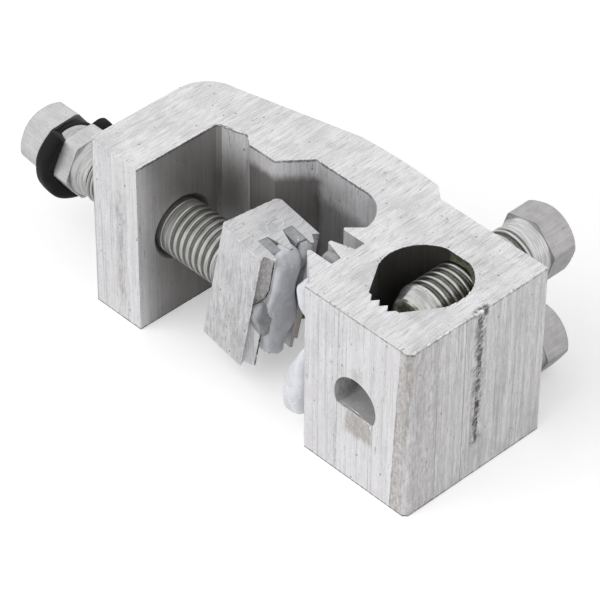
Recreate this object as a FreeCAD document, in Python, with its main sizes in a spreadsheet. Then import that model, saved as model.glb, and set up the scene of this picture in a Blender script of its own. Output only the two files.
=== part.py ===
import FreeCAD, Part
import math
import os

import Sketcher
from FreeCAD import Placement, Rotation, Vector

# Branch connector cut from an extruded aluminium section, standing on a sawn face.
# Frame: millimetres, +Z up along the extrusion. The origin lies on the base plane, below the
# axis of the main clamp bolt, where the block of the branch side meets the cavity.
# The main bolt lies along X at mid height, the two branch bolts lie along Y.

document = FreeCAD.newDocument("branch_clamp")
sheet = document.addObject("Spreadsheet::Sheet", "sizes")

# Driving sizes in millimetres, angles in degrees.
SIZES = {
    # extruded body, block of the branch side
    "body_height": 40.0,
    "block_width": 27.0,
    "block_depth": 35.7,
    "screw_offset": 11.4,
    # extruded body, back of the bridge and the arm
    "step_start": 0.5,
    "step_run": 3.0,
    "crown_rise": 2.5,
    "crown_bulge": 0.5,
    "crown_length": 21.0,
    "arm_gap": 46.3,
    "arm_thickness": 13.5,
    "arm_shoulder": 31.3,
    "arm_corner_run": 7.3,
    "arm_corner_fall": 8.8,
    "edge_round": 0.8,
    # extruded body, conductor cavity
    "arm_side_depth": 20.6,
    "relief_depth": 22.9,
    "relief_width": 6.6,
    "relief_ramp": 2.4,
    "land_depth": 21.1,
    "land_width": 7.0,
    "ramp_width": 5.0,
    "seat_depth": 27.2,
    "seat_end": 12.8,
    "seat_foot": 4.1,
    "seat_foot_depth": 19.7,
    # teeth of the fixed and the moving jaw
    "slot_root": 1.0,
    "fixed_teeth_shift": 0.5,
    "slot_wall": 4.25,
    "slot_inner": 1.85,
    "middle_tooth": 4.9,
    "tooth_flat": 0.35,
    "outer_tooth": 5.9,
    "outer_tip_flat": 0.55,
    "jaw_foot": 1.2,
    # branch bore
    "bore_centre_x": 13.3,
    "bore_centre_depth": 17.5,
    "bore_radius": 9.2,
    "bore_top_width": 6.0,
    "bore_floor_depth": 6.9,
    "bore_floor_width": 7.8,
    "bore_flank_depth": 14.2,
    "rib_pitch": 2.1,
    "rib_depth": 1.4,
    # window in the front face
    "window_radius": 5.4,
    "window_height": 19.8,
    "window_sill": 2.6,
    # main clamp bolt
    "main_radius": 6.0,
    "running_gap": 0.08,
    "hole_lip": 1.1,
    "hex_flats": 13.0,
    "inner_hex_at": 12.5,
    "inner_hex_long": 3.9,
    "shear_neck_long": 4.4,
    "shear_neck_radius": 4.4,
    "neck_collar_long": 2.8,
    "neck_collar_radius": 6.0,
    "outer_hex_long": 6.7,
    "hex_chamfer": 1.1,
    "hex_end_drop": 0.28,
    "hex_overrun": 0.1,
    "collar_long": 3.8,
    "collar_radius": 6.35,
    "collar_foot_radius": 5.5,
    "thread_relief": 0.7,
    "thread_break": 0.6,
    "main_hex_phase": 4.0,
    # spigot that carries the moving jaw
    "shoulder_gap": 1.05,
    "spigot_radius": 3.2,
    "spigot_long": 5.6,
    "spigot_break": 0.4,
    "spigot_groove": 3.0,
    "groove_radius": 2.7,
    "groove_width": 1.2,
    "ring_slack": 0.1,
    "ring_height": 1.25,
    "ring_sweep": 320.0,
    # moving jaw
    "jaw_x": 29.8,
    "jaw_rise": 0.4,
    "jaw_yaw": -3.3,
    "jaw_pitch": 7.4,
    "jaw_roll": -4.7,
    "jaw_height": 27.6,
    "jaw_half_width": 7.3,
    "jaw_back": 7.4,
    "jaw_shoulder": 4.5,
    "jaw_notch": 3.8,
    "jaw_notch_at": 6.0,
    "jaw_round": 0.7,
    "jaw_lip_radius": 3.55,
    "jaw_lip": 1.2,
    "jaw_pocket_radius": 4.75,
    "jaw_pocket": 5.9,
    # rubber ring in the shear neck
    "seal_inner": 5.9,
    "seal_outer": 9.3,
    "seal_thick": 3.6,
    "seal_round": 1.2,
    "seal_shift": 1.1,
    "band_inner": 4.9,
    "band_outer": 6.5,
    "band_thick": 1.8,
    "band_at": -3.1,
    "band_round": 0.5,
    "seal_tilt": -6.4,
    "seal_drop": 0.3,
    "seal_open": 58.0,
    "seal_open_at": 88.0,
    "seal_overlap": 4.0,
    "seal_lean": -3.0,
    # branch bolts
    "branch_x": 13.9,
    "branch_edge": 8.0,
    "branch_radius": 6.0,
    "branch_head_at": 8.6,
    "branch_head_long": 6.6,
    "branch_neck_long": 4.2,
    "branch_neck_radius": 5.0,
    "branch_reach": 19.4,
    "branch_point_long": 3.3,
    "branch_point_radius": 4.5,
    "branch_upper_phase": 12.4,
    "branch_lower_phase": 59.0,
    # contact grease on the jaw's teeth, in the jaw's frame, and on the block
    "slot_grease_long": 24.0,
    "grease_below_top": 0.2,
    "stream_half_depth": 2.9,
    "stream_half_width": 4.6,
    "stream_from_root": 4.4,
    "stream_lean": 1.0,
    "stream_drip": 0.3,
    "drop_half_depth": 3.1,
    "drop_half_width": 2.1,
    "drop_top": 22.0,
    "drop_bottom": 5.2,
    "drop_inset": 2.6,
    "drop_out": 3.6,
}

for row, (alias, number) in enumerate(SIZES.items(), start=1):
    sheet.set(f"A{row}", alias)
    sheet.set(f"B{row}", str(number))
    sheet.setAlias(f"B{row}", alias)
document.recompute()


class Term:
    """A size that carries its number and the formula over the sheet that gives it."""

    def __init__(self, number, formula):
        self.number = float(number)
        self.formula = formula

    @staticmethod
    def of(value):
        return value if isinstance(value, Term) else Term(value, repr(float(value)))

    def __add__(self, other):
        other = Term.of(other)
        return Term(self.number + other.number, f"({self.formula} + {other.formula})")

    def __sub__(self, other):
        other = Term.of(other)
        return Term(self.number - other.number, f"({self.formula} - {other.formula})")

    def __mul__(self, other):
        other = Term.of(other)
        return Term(self.number * other.number, f"({self.formula} * {other.formula})")

    def __truediv__(self, other):
        other = Term.of(other)
        return Term(self.number / other.number, f"({self.formula} / {other.formula})")

    def __neg__(self):
        return Term(-self.number, f"(0 - {self.formula})")

    def root(self):
        return Term(math.sqrt(self.number), f"sqrt({self.formula})")

    __radd__ = __add__
    __rmul__ = __mul__

    def __rsub__(self, other):
        return Term.of(other) - self


class Sizes:
    """The named sizes of the sheet as terms."""


size = Sizes()
for alias, number in SIZES.items():
    setattr(size, alias, Term(number, f"sizes.{alias}"))

ZERO = Term(0.0, "0")


def bind(thing, name, term):
    """Set a property and tie it to its formula."""
    term = Term.of(term)
    thing.setExpression(name, term.formula)


def place(thing, x, y, z, turn=None):
    """Give an object a turn and tie its position to the sheet."""
    x, y, z = Term.of(x), Term.of(y), Term.of(z)
    thing.Placement = Placement(Vector(x.number, y.number, z.number), turn or Rotation())
    for name, term in (("x", x), ("y", y), ("z", z)):
        bind(thing, f"Placement.Base.{name}", term)
    return thing


# Sketches. An outline is a list of steps: ("to", x, y) draws a straight side, and
# ("arc", xm, ym, x, y) draws an arc through the middle point to the end point.
def outline(body, name, plane, steps):
    sketch = body.newObject("Sketcher::SketchObject", name)
    origin_plane = [f for f in body.Origin.OriginFeatures if f.Role == plane][0]
    sketch.AttachmentSupport = [(origin_plane, "")]
    sketch.MapMode = "FlatFace"
    last = steps[-1]
    here = (Term.of(last[-2]), Term.of(last[-1]))
    curves = []
    for step in steps:
        end = (Term.of(step[-2]), Term.of(step[-1]))
        start_point = Vector(here[0].number, here[1].number, 0)
        end_point = Vector(end[0].number, end[1].number, 0)
        if step[0] == "arc":
            middle = (Term.of(step[1]), Term.of(step[2]))
            middle_point = Vector(middle[0].number, middle[1].number, 0)
            curve = sketch.addGeometry(Part.Arc(start_point, middle_point, end_point), False)
            mark = sketch.addGeometry(Part.Point(middle_point), True)
            sketch.addConstraint(Sketcher.Constraint("PointOnObject", mark, 1, curve))
            fix_point(sketch, mark, 1, middle)
            turned = is_clockwise(start_point, middle_point, end_point)
            curves.append((curve, 2 if turned else 1, 1 if turned else 2, end))
        else:
            curve = sketch.addGeometry(Part.LineSegment(start_point, end_point), False)
            curves.append((curve, 1, 2, end))
        here = end
    for (curve, _, tail, end), (following, head, _, _) in zip(curves, curves[1:] + curves[:1]):
        sketch.addConstraint(Sketcher.Constraint("Coincident", curve, tail, following, head))
        fix_point(sketch, curve, tail, end)
    return sketch


def fix_point(sketch, curve, vertex, place_terms):
    """Tie a sketch point to its two coordinates."""
    for kind, term in zip(("DistanceX", "DistanceY"), place_terms):
        number = sketch.addConstraint(Sketcher.Constraint(kind, curve, vertex, term.number))
        if term.formula != "0":
            sketch.setExpression(f"Constraints[{number}]", term.formula)


def is_clockwise(start, middle, end):
    return (middle - start).cross(end - middle).z < 0


def new_body(name):
    return document.addObject("PartDesign::Body", name)


def pad(body, sketch, length, middle=False):
    feature = body.newObject("PartDesign::Pad", sketch.Name + "_pad")
    feature.Profile = sketch
    bind(feature, "Length", length)
    feature.Midplane = middle
    return feature


def through_pocket(body, sketch, length):
    """Cut a sketch of the base plane upwards through the body."""
    feature = body.newObject("PartDesign::Pocket", sketch.Name + "_pocket")
    feature.Profile = sketch
    feature.Reversed = True
    bind(feature, "Length", length)
    return feature


def revolve(body, sketch, angle=360.0):
    """Turn a sketch about its own horizontal axis."""
    feature = body.newObject("PartDesign::Revolution", sketch.Name + "_turned")
    feature.Profile = sketch
    feature.ReferenceAxis = (sketch, ["H_Axis"])
    bind(feature, "Angle", angle)
    return feature


TO_X = Rotation(Vector(0, 1, 0), 90)
TO_MINUS_Y = Rotation(Vector(0, 0, 1), -90)


def cylinder(name, radius, height):
    solid = document.addObject("Part::Cylinder", name)
    bind(solid, "Radius", radius)
    bind(solid, "Height", height)
    return solid


def cone(name, first_radius, last_radius, height):
    solid = document.addObject("Part::Cone", name)
    bind(solid, "Radius1", first_radius)
    bind(solid, "Radius2", last_radius)
    bind(solid, "Height", height)
    return solid


def box(name, length, width, height):
    solid = document.addObject("Part::Box", name)
    bind(solid, "Length", length)
    bind(solid, "Width", width)
    bind(solid, "Height", height)
    return solid


def fuse(name, solids):
    joined = document.addObject("Part::MultiFuse", name)
    joined.Shapes = solids
    return joined


def cut(name, base, tool):
    rest = document.addObject("Part::Cut", name)
    rest.Base = base
    rest.Tool = tool
    return rest


def common(name, first, second):
    shared = document.addObject("Part::Common", name)
    shared.Base = first
    shared.Tool = second
    return shared


def depth(value):
    """Y of a line this far behind the front face."""
    return Term.of(value) - size.screw_offset


# Teeth. Both jaws have three teeth and two slots. The function gives the outline from one outer
# tip to the other, for teeth that point along the direction from the root line of the slots.
def teeth(root_x, direction, upper_first, middle=ZERO):
    outer = root_x + direction * size.outer_tooth
    inner = root_x + direction * size.middle_tooth
    side = 1 if upper_first else -1
    return [
        ("to", outer, middle + side * (size.slot_wall + size.outer_tip_flat)),
        ("to", outer - direction * size.tooth_flat, middle + side * size.slot_wall),
        ("to", root_x, middle + side * size.slot_wall),
        ("to", root_x, middle + side * size.slot_inner),
        ("to", inner, middle + side * size.tooth_flat),
        ("to", inner, middle - side * size.tooth_flat),
        ("to", root_x, middle - side * size.slot_inner),
        ("to", root_x, middle - side * size.slot_wall),
        ("to", outer - direction * size.tooth_flat, middle - side * size.slot_wall),
        ("to", outer, middle - side * (size.slot_wall + size.outer_tip_flat)),
    ]


# Connector body: one extruded section with the arm, the bridge, the fixed jaw and the block.
def extruded_section():
    body = new_body("extrusion")
    arm_inner = -size.arm_gap
    arm_outer = -size.arm_gap - size.arm_thickness
    crown_near = -size.step_start - size.step_run
    crown_far = crown_near - size.crown_length
    crown_y = depth(size.block_depth + size.crown_rise)
    relief_far = arm_inner + size.relief_width
    land_far = relief_far + size.relief_ramp
    land_near = land_far + size.land_width
    corner_x = arm_outer + size.arm_corner_run
    corner_y = depth(size.arm_shoulder) - size.arm_corner_fall
    lean = math.cos(math.radians(45))
    steps = [
        ("to", size.block_width - size.edge_round, depth(0)),
        ("to", size.block_width, depth(0) + size.edge_round),
        ("to", size.block_width, depth(size.block_depth)),
        ("to", -size.step_start, depth(size.block_depth)),
        ("to", crown_near, crown_y),
        ("arc", crown_near - size.crown_length / 2, crown_y + size.crown_bulge, crown_far, crown_y),
        ("to", corner_x, depth(size.arm_shoulder)),
        ("arc", arm_outer + size.arm_corner_run * (1 - lean), corner_y + size.arm_corner_fall * lean,
         arm_outer, corner_y),
        ("to", arm_outer, depth(0) + size.edge_round),
        ("to", arm_outer + size.edge_round, depth(0)),
        ("to", arm_inner, depth(0)),
        ("to", arm_inner, depth(size.arm_side_depth)),
        ("to", arm_inner + size.edge_round, depth(size.arm_side_depth) + size.edge_round),
        ("to", relief_far, depth(size.relief_depth)),
        ("to", land_far, depth(size.land_depth)),
        ("to", land_near, depth(size.land_depth)),
        ("to", land_near + size.ramp_width, depth(size.seat_depth)),
        ("to", -size.seat_end, depth(size.seat_depth)),
        ("arc", -size.seat_foot - (size.seat_end - size.seat_foot) * (1 - lean),
         depth(size.seat_foot_depth) + (size.seat_depth - size.seat_foot_depth) * lean,
         -size.seat_foot, depth(size.seat_foot_depth)),
    ]
    steps += teeth(-size.slot_root, -1, True, size.fixed_teeth_shift)
    steps += [
        ("to", ZERO, depth(size.jaw_foot)),
        ("to", ZERO, depth(0)),
    ]
    section = outline(body, "section", "XY_Plane", steps)
    pad(body, section, size.body_height)

    bore_y = depth(size.bore_centre_depth)
    floor_y = depth(size.bore_floor_depth)
    half_floor = size.bore_floor_width / 2
    top_width = size.bore_top_width / 2
    top_y = bore_y + (size.bore_radius * size.bore_radius - top_width * top_width).root()
    fall = size.bore_centre_depth - size.bore_flank_depth
    flank_width = (size.bore_radius * size.bore_radius - fall * fall).root()
    x = size.bore_centre_x
    bore = outline(body, "bore", "XY_Plane", [
        ("to", x - half_floor, floor_y),
        ("to", x + half_floor, floor_y),
        ("to", x + flank_width, depth(size.bore_flank_depth)),
        ("arc", x + size.bore_radius, bore_y, x + top_width, top_y),
        ("to", x - top_width, top_y),
        ("arc", x - size.bore_radius, bore_y, x - flank_width, depth(size.bore_flank_depth)),
    ])
    through_pocket(body, bore, size.body_height)

    rib_half = size.rib_pitch / 2
    first = x - size.rib_pitch
    groove = outline(body, "rib_groove", "XY_Plane", [
        ("to", first - rib_half, floor_y),
        ("to", first, floor_y - size.rib_depth),
        ("to", first + rib_half, floor_y),
    ])
    groove_cut = through_pocket(body, groove, size.body_height)
    row = body.newObject("PartDesign::LinearPattern", "ribs")
    row.Originals = [groove_cut]
    row.Direction = (groove, ["H_Axis"])
    row.Occurrences = 3
    bind(row, "Length", size.rib_pitch * 2)
    body.Tip = row
    return body


def connector_body():
    main_hole = place(cylinder("main_hole", size.main_radius + size.running_gap,
                               size.arm_thickness + 2 * size.hole_lip),
                      -size.arm_gap - size.arm_thickness - size.hole_lip, ZERO,
                      size.body_height / 2, TO_X)
    lip_radius = size.main_radius + size.running_gap
    main_lip = place(cone("main_hole_lip", lip_radius, lip_radius + 2 * size.hole_lip,
                          2 * size.hole_lip),
                     -size.arm_gap - size.hole_lip, ZERO, size.body_height / 2, TO_X)
    tools = [main_hole, main_lip]
    wall = size.block_depth - size.bore_centre_depth
    for name, height in (("upper", size.body_height - size.branch_edge),
                         ("lower", size.branch_edge)):
        tools.append(place(cylinder(f"branch_hole_{name}", size.branch_radius + size.running_gap,
                                    wall + size.hole_lip),
                           size.branch_x, depth(size.block_depth) + size.hole_lip, height,
                           Rotation(Vector(1, 0, 0), 90)))
    window_round = place(cylinder("window_round", size.window_radius, size.bore_flank_depth),
                         size.bore_centre_x, depth(size.bore_flank_depth) - size.edge_round,
                         size.window_height, Rotation(Vector(1, 0, 0), 90))
    window_room = place(box("window_room", 4 * size.window_radius, 2 * size.bore_flank_depth,
                            2 * size.window_radius),
                        size.bore_centre_x - 2 * size.window_radius,
                        depth(0) - size.bore_flank_depth,
                        size.window_height - size.window_sill)
    tools.append(common("window", window_round, window_room))
    whole = cut("connector_body", extruded_section(), fuse("drillings", tools))
    return whole


def hexagon(name, start_x, length, phase, chamfered):
    """Hexagon along X; a chamfered one runs out to a circle at its outer end."""
    corner = size.hex_flats / math.sqrt(3)
    prism = document.addObject("Part::Prism", name + "_prism")
    prism.Polygon = 6
    bind(prism, "Circumradius", corner)
    bind(prism, "Height", length)
    turn = TO_X.multiply(Rotation(Vector(0, 0, 1), phase + 90))
    if not chamfered:
        return place(prism, start_x, ZERO, ZERO, turn)
    prism.Placement = Placement(Vector(), turn)
    envelope = new_body(name + "_envelope")
    wide = corner + size.hex_overrun
    ring = outline(envelope, name + "_round", "XY_Plane", [
        ("to", ZERO, ZERO),
        ("to", length, ZERO),
        ("to", length, wide),
        ("to", size.hex_chamfer, wide),
        ("to", ZERO, size.hex_flats / 2 - size.hex_end_drop),
    ])
    revolve(envelope, ring)
    return place(common(name, prism, envelope), start_x, ZERO, ZERO)


def main_clamp_bolt():
    """Double hexagon shear bolt: outer hexagon, shear neck, inner hexagon, collar, thread, spigot."""
    arm_outer = -size.arm_gap - size.arm_thickness
    inner_hex = arm_outer - size.inner_hex_at
    neck = inner_hex - size.inner_hex_long
    break_groove = neck - size.neck_collar_long
    outer_hex = neck - size.shear_neck_long
    end = outer_hex - size.outer_hex_long
    collar_end = inner_hex + size.collar_long
    shoulder = -size.jaw_x - size.shoulder_gap
    tip = shoulder + size.spigot_long
    groove = shoulder + size.spigot_groove
    turned = new_body("main_bolt_turning")
    profile = outline(turned, "main_bolt_profile", "XY_Plane", [
        ("to", end + size.hex_chamfer, ZERO),
        ("to", tip, ZERO),
        ("to", tip, size.spigot_radius - size.spigot_break),
        ("to", tip - size.spigot_break, size.spigot_radius),
        ("to", groove + size.groove_width, size.spigot_radius),
        ("to", groove + size.groove_width, size.groove_radius),
        ("to", groove, size.groove_radius),
        ("to", groove, size.spigot_radius),
        ("to", shoulder, size.spigot_radius),
        ("to", shoulder, size.main_radius - size.thread_break),
        ("to", shoulder - size.thread_break, size.main_radius),
        ("to", collar_end + size.thread_relief, size.main_radius),
        ("to", collar_end, size.collar_foot_radius),
        ("to", inner_hex, size.collar_radius),
        ("to", inner_hex - size.inner_hex_long / 2, size.collar_radius),
        ("to", neck, size.neck_collar_radius),
        ("to", break_groove, size.neck_collar_radius),
        ("to", break_groove, size.shear_neck_radius),
        ("to", outer_hex, size.shear_neck_radius),
        ("to", outer_hex - size.outer_hex_long / 2, size.shear_neck_radius),
    ])
    revolve(turned, profile)
    phase = size.main_hex_phase.number
    inner = hexagon("inner_hexagon", neck, size.inner_hex_long, phase, False)
    outer = hexagon("outer_hexagon", end, size.outer_hex_long, phase, True)
    bolt = fuse("main_clamp_bolt", [turned, inner, outer])
    return place(bolt, ZERO, ZERO, size.body_height / 2)


def branch_bolt(name, height, phase):
    """Hexagon bolt of the branch side: its local X runs from the head to the point."""
    head = -size.branch_head_at - size.branch_head_long
    near = -size.branch_head_at
    thread = near + size.branch_neck_long
    turned = new_body(name + "_turning")
    profile = outline(turned, name + "_profile", "XY_Plane", [
        ("to", head + size.hex_chamfer, ZERO),
        ("to", size.branch_reach + size.branch_point_long, ZERO),
        ("to", size.branch_reach + size.branch_point_long, size.branch_point_radius),
        ("to", size.branch_reach, size.branch_radius),
        ("to", thread + size.thread_relief, size.branch_radius),
        ("to", thread, size.branch_neck_radius),
        ("to", near, size.collar_radius),
        ("to", near - size.branch_head_long / 2, size.collar_radius),
    ])
    revolve(turned, profile)
    head_hex = hexagon(name + "_head", head, size.branch_head_long, phase.number, True)
    bolt = fuse(name, [turned, head_hex])
    return place(bolt, size.branch_x, depth(size.block_depth), height, TO_MINUS_Y)


# Moving jaw, in its own frame: local X from its back face to its teeth, local Z along the
# extrusion. It hangs slightly tilted on the spigot of the bolt.
def jaw_turn():
    return Rotation(size.jaw_yaw.number, size.jaw_pitch.number, size.jaw_roll.number)


def movable_jaw():
    body = new_body("jaw_section")
    shoulder = size.jaw_back + size.jaw_shoulder
    notch = size.jaw_back + size.jaw_notch
    half = size.jaw_half_width
    steps = [
        ("to", size.jaw_round, half),
        ("to", ZERO, half - size.jaw_round),
        ("to", ZERO, size.jaw_round - half),
        ("to", size.jaw_round, -half),
        ("to", shoulder, -half),
        ("to", notch, -size.jaw_notch_at),
    ]
    steps += teeth(size.jaw_back, 1, False)
    steps += [
        ("to", notch, size.jaw_notch_at),
        ("to", shoulder, half),
    ]
    section = outline(body, "jaw_outline", "XY_Plane", steps)
    pad(body, section, size.jaw_height, middle=True)
    lip = place(cylinder("jaw_mouth", size.jaw_lip_radius, size.jaw_pocket),
                -size.jaw_round, ZERO, -size.jaw_rise, TO_X)
    room = place(cylinder("jaw_room", size.jaw_pocket_radius, size.jaw_pocket - size.jaw_lip),
                 size.jaw_lip, ZERO, -size.jaw_rise, TO_X)
    jaw = cut("movable_jaw", body, fuse("jaw_socket", [lip, room]))
    return place(jaw, -size.jaw_x, ZERO, size.body_height / 2 + size.jaw_rise, jaw_turn())


def jaw_retaining_ring():
    """Open snap ring in the groove of the spigot, behind the lip of the jaw's socket."""
    ring = new_body("jaw_retaining_ring")
    outer = size.groove_radius + size.ring_height
    profile = outline(ring, "ring_profile", "XY_Plane", [
        ("to", size.ring_slack, size.groove_radius),
        ("to", size.groove_width - size.ring_slack, size.groove_radius),
        ("to", size.groove_width - size.ring_slack, outer),
        ("to", size.ring_slack, outer),
    ])
    revolve(ring, profile, size.ring_sweep)
    groove = -size.jaw_x - size.shoulder_gap + size.spigot_groove
    return place(ring, groove, ZERO, size.body_height / 2)


def rubber_ring(bolt):
    """Split rubber ring squeezed onto the shear neck; a thin band crosses its opening."""
    half = size.seal_thick / 2
    turns = []
    for name, left, right, inner, outer, corner, sweep, start in (
        ("seal_thick_part", -half, half, size.seal_inner, size.seal_outer, size.seal_round,
         360 - size.seal_open, size.seal_open_at + size.seal_open / 2),
        ("seal_band", size.band_at, size.band_at + size.band_thick, size.band_inner,
         size.band_outer, size.band_round, size.seal_open + 2 * size.seal_overlap,
         size.seal_open_at - size.seal_open / 2 - size.seal_overlap),
    ):
        body = new_body(name)
        profile = outline(body, name + "_profile", "XY_Plane", [
            ("to", left, inner),
            ("to", right, inner),
            ("to", right, outer - corner),
            ("to", right - corner, outer),
            ("to", left + corner, outer),
            ("to", left, outer - corner),
        ])
        revolve(body, profile, sweep)
        body.Placement = Placement(Vector(), Rotation(Vector(1, 0, 0), start.number))
        turns.append(body)
    middle = (-size.arm_gap - size.arm_thickness - size.inner_hex_at - size.inner_hex_long
              - size.shear_neck_long / 2 + size.seal_shift)
    turn = Rotation(Vector(0, 0, 1), size.seal_tilt.number).multiply(
        Rotation(Vector(1, 0, 0), size.seal_lean.number))
    moulded = place(fuse("seal_moulding", turns), middle, ZERO,
                    size.body_height / 2 - size.seal_drop, turn)
    return cut("rubber_ring", moulded, bolt)


# Contact grease: soft lumps lofted through level ovals. A swell gives, along the length of a
# lump, the share of the length, the shift across and the half width as shares of the widest.
OVAL_SIDES = 16
STREAM_SWELL = ((0.0, -0.13, 1.0), (0.15, -0.28, 0.87), (0.37, -0.41, 0.87), (0.54, -0.48, 1.05),
                (0.72, -0.17, 1.05), (0.86, -0.24, 0.68), (1.0, 0.09, 0.3))
DROP_SWELL = ((0.0, 0.0, 0.35), (0.2, 0.0, 0.8), (0.5, 0.0, 1.0), (0.78, 0.0, 0.85),
              (1.0, 0.0, 0.35))


def lump(first, last, half_x, half_y, swell):
    """Solid through level ovals whose centres run from the first point to the last."""
    wires = []
    for share, shift, width in swell:
        centre = first + (last - first) * share + Vector(0, half_y * shift, 0)
        corners = []
        for number in range(OVAL_SIDES + 1):
            angle = 2 * math.pi * (number % OVAL_SIDES) / OVAL_SIDES
            corners.append(centre + Vector(half_x * width * math.cos(angle),
                                           half_y * width * math.sin(angle), 0))
        wires.append(Part.makePolygon(corners))
    return Part.makeLoft(wires, True, True)


def jaw_grease(jaw):
    """Grease in the slots of the jaw and down the face of its teeth, in the jaw's own frame."""
    top = SIZES["jaw_height"] / 2 - SIZES["grease_below_top"]
    root = SIZES["jaw_back"]
    middle = root + SIZES["stream_from_root"]
    reach = SIZES["outer_tooth"] - SIZES["tooth_flat"]
    width = SIZES["slot_wall"] - SIZES["slot_inner"]
    long = SIZES["slot_grease_long"]
    slots = []
    for low in (SIZES["slot_inner"], -SIZES["slot_wall"]):
        slots.append(Part.makeBox(reach, width, long, Vector(root, low, top - long)))
    stream = lump(Vector(middle - SIZES["stream_lean"], 0, top),
                  Vector(middle, 0, SIZES["stream_drip"] - SIZES["jaw_height"] / 2),
                  SIZES["stream_half_depth"], SIZES["stream_half_width"], STREAM_SWELL)
    teeth_only = jaw.Base.Shape.copy()
    teeth_only.Placement = Placement()
    return stream.fuse(slots).removeSplitter().cut(teeth_only)


def body_grease(connector):
    """Grease drop on the cavity side of the block, behind its front edge."""
    across = SIZES["drop_inset"] - SIZES["screw_offset"]
    drop = lump(Vector(-SIZES["drop_out"], across, SIZES["drop_top"]),
                Vector(-SIZES["drop_out"], across, SIZES["drop_bottom"]),
                SIZES["drop_half_depth"], SIZES["drop_half_width"], DROP_SWELL)
    return drop.cut(connector.Shape)


def feature_of(name, shape, placement):
    feature = document.addObject("Part::Feature", name)
    feature.Shape = shape
    feature.Placement = placement
    return feature


connector = connector_body()
jaw = movable_jaw()
clamp_bolt = main_clamp_bolt()
parts = [
    connector,
    jaw,
    clamp_bolt,
    jaw_retaining_ring(),
    rubber_ring(clamp_bolt),
    branch_bolt("branch_bolt_upper", size.body_height - size.branch_edge, size.branch_upper_phase),
    branch_bolt("branch_bolt_lower", size.branch_edge, size.branch_lower_phase),
]
document.recompute()
parts.append(feature_of("jaw_grease", jaw_grease(jaw), jaw.Placement))
parts.append(feature_of("body_grease", body_grease(connector), Placement()))
for part in parts:
    part.Label = part.Name
document.recompute()

for thing in document.Objects:
    if "Invalid" in thing.State or "Error" in thing.State:
        raise RuntimeError(f"{thing.Name} failed: {thing.State}")
for part in parts:
    if part.Shape.isNull() or not part.Shape.isValid():
        raise RuntimeError(f"{part.Label} has no valid shape")

os.makedirs("parts", exist_ok=True)
for part in parts:
    part.Shape.exportStep(f"parts/{part.Label}.step")
    box_of = part.Shape.optimalBoundingBox(False)
    print(part.Label, len(part.Shape.Solids), "solids", round(part.Shape.Volume, 1), "mm3",
          [round(v, 1) for v in (box_of.XMin, box_of.XMax, box_of.YMin, box_of.YMax,
                                 box_of.ZMin, box_of.ZMax)])
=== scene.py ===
"""Visual model of a branch connector clamp: a sawn aluminium section with three hexagon bolts."""
import logging
import math
from dataclasses import dataclass
from enum import Enum
from functools import cached_property, reduce

import bpy
import numpy as np
from mathutils import Matrix


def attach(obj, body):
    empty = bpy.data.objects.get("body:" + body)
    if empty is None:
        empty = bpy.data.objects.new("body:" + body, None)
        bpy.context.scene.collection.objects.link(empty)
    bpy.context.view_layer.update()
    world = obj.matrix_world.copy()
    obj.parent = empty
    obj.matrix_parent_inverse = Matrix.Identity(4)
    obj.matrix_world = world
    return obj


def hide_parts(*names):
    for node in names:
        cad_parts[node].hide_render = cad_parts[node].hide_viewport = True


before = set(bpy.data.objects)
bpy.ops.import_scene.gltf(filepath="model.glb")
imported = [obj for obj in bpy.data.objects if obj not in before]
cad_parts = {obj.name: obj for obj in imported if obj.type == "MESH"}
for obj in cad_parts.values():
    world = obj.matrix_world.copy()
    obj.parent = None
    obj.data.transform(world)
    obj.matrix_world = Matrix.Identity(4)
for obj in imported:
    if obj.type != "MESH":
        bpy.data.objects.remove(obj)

LOG = logging.getLogger("branch_clamp")
MM = 0.001
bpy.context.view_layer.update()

Material = bpy.types.Material
Socket = bpy.types.NodeSocket
Triple = tuple[float, float, float]
Box = tuple[float, float, float, float]

# planes of the extruded section, in millimetres
TOP = 40.0
FRONT = -11.4
RIGHT = 27.0
BACK = 24.3
ARM_WALL = -46.3

# sizes that all three bolts share, in millimetres
FLATS = 13.0
THREAD_RADIUS = 6.0
THREAD_PITCH = 1.75
THREAD_DEPTH = 0.62

# ways in which a marked face can look; the last is the front with a little of the right
TO_RIGHT = (1.0, 0.0, 0.0)
TO_FRONT = (0.0, -1.0, 0.0)
TO_TOP = (0.0, 0.0, 1.0)
TO_VIEWER = (0.3, -0.95, 0.0)


# Numbers and surfaces

def full_turn(count: int) -> np.ndarray:
    """Even angles once round, in radians."""
    return np.linspace(0.0, 2.0 * math.pi, count, endpoint=False)


def smooth_noise(places: np.ndarray, seed: int, waves: int = 9) -> np.ndarray:
    """Sum of sine waves with seeded directions and phases, between about -1 and 1.

    Args:
        places: Points of shape (..., k); one wave is the sine of a point times a direction.
        seed: Number that fixes the waves.
        waves: How many waves are added.

    Returns:
        One value for each point.
    """
    rng = np.random.default_rng(seed)
    directions = rng.normal(size=(waves, places.shape[-1]))
    phases = rng.uniform(0.0, 2.0 * math.pi, waves)
    total = np.sin(places @ directions.T + phases).sum(axis=-1)
    return total / math.sqrt(waves * 2.0)


def smooth_step(values: np.ndarray, low: float, high: float) -> np.ndarray:
    """Rise from 0 at low to 1 at high, as three squares less two cubes of the share."""
    share = np.clip((values - low) / (high - low), 0.0, 1.0)
    return share * share * (3.0 - 2.0 * share)


def along(stations: np.ndarray, shares: np.ndarray) -> np.ndarray:
    """Values between stations, half straight and half eased with a cosine.

    Args:
        stations: Array (n, k) of values at even steps.
        shares: Places from 0 to 1 along the stations.

    Returns:
        Array (len(shares), k).
    """
    place = np.clip(shares, 0.0, 1.0) * (len(stations) - 1)
    low = np.minimum(place.astype(int), len(stations) - 2)
    eased = (1.0 - np.cos((place - low) * math.pi)) / 2.0
    blend = (0.5 * eased + 0.5 * (place - low))[:, None]
    return stations[low] * (1.0 - blend) + stations[low + 1] * blend


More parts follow.
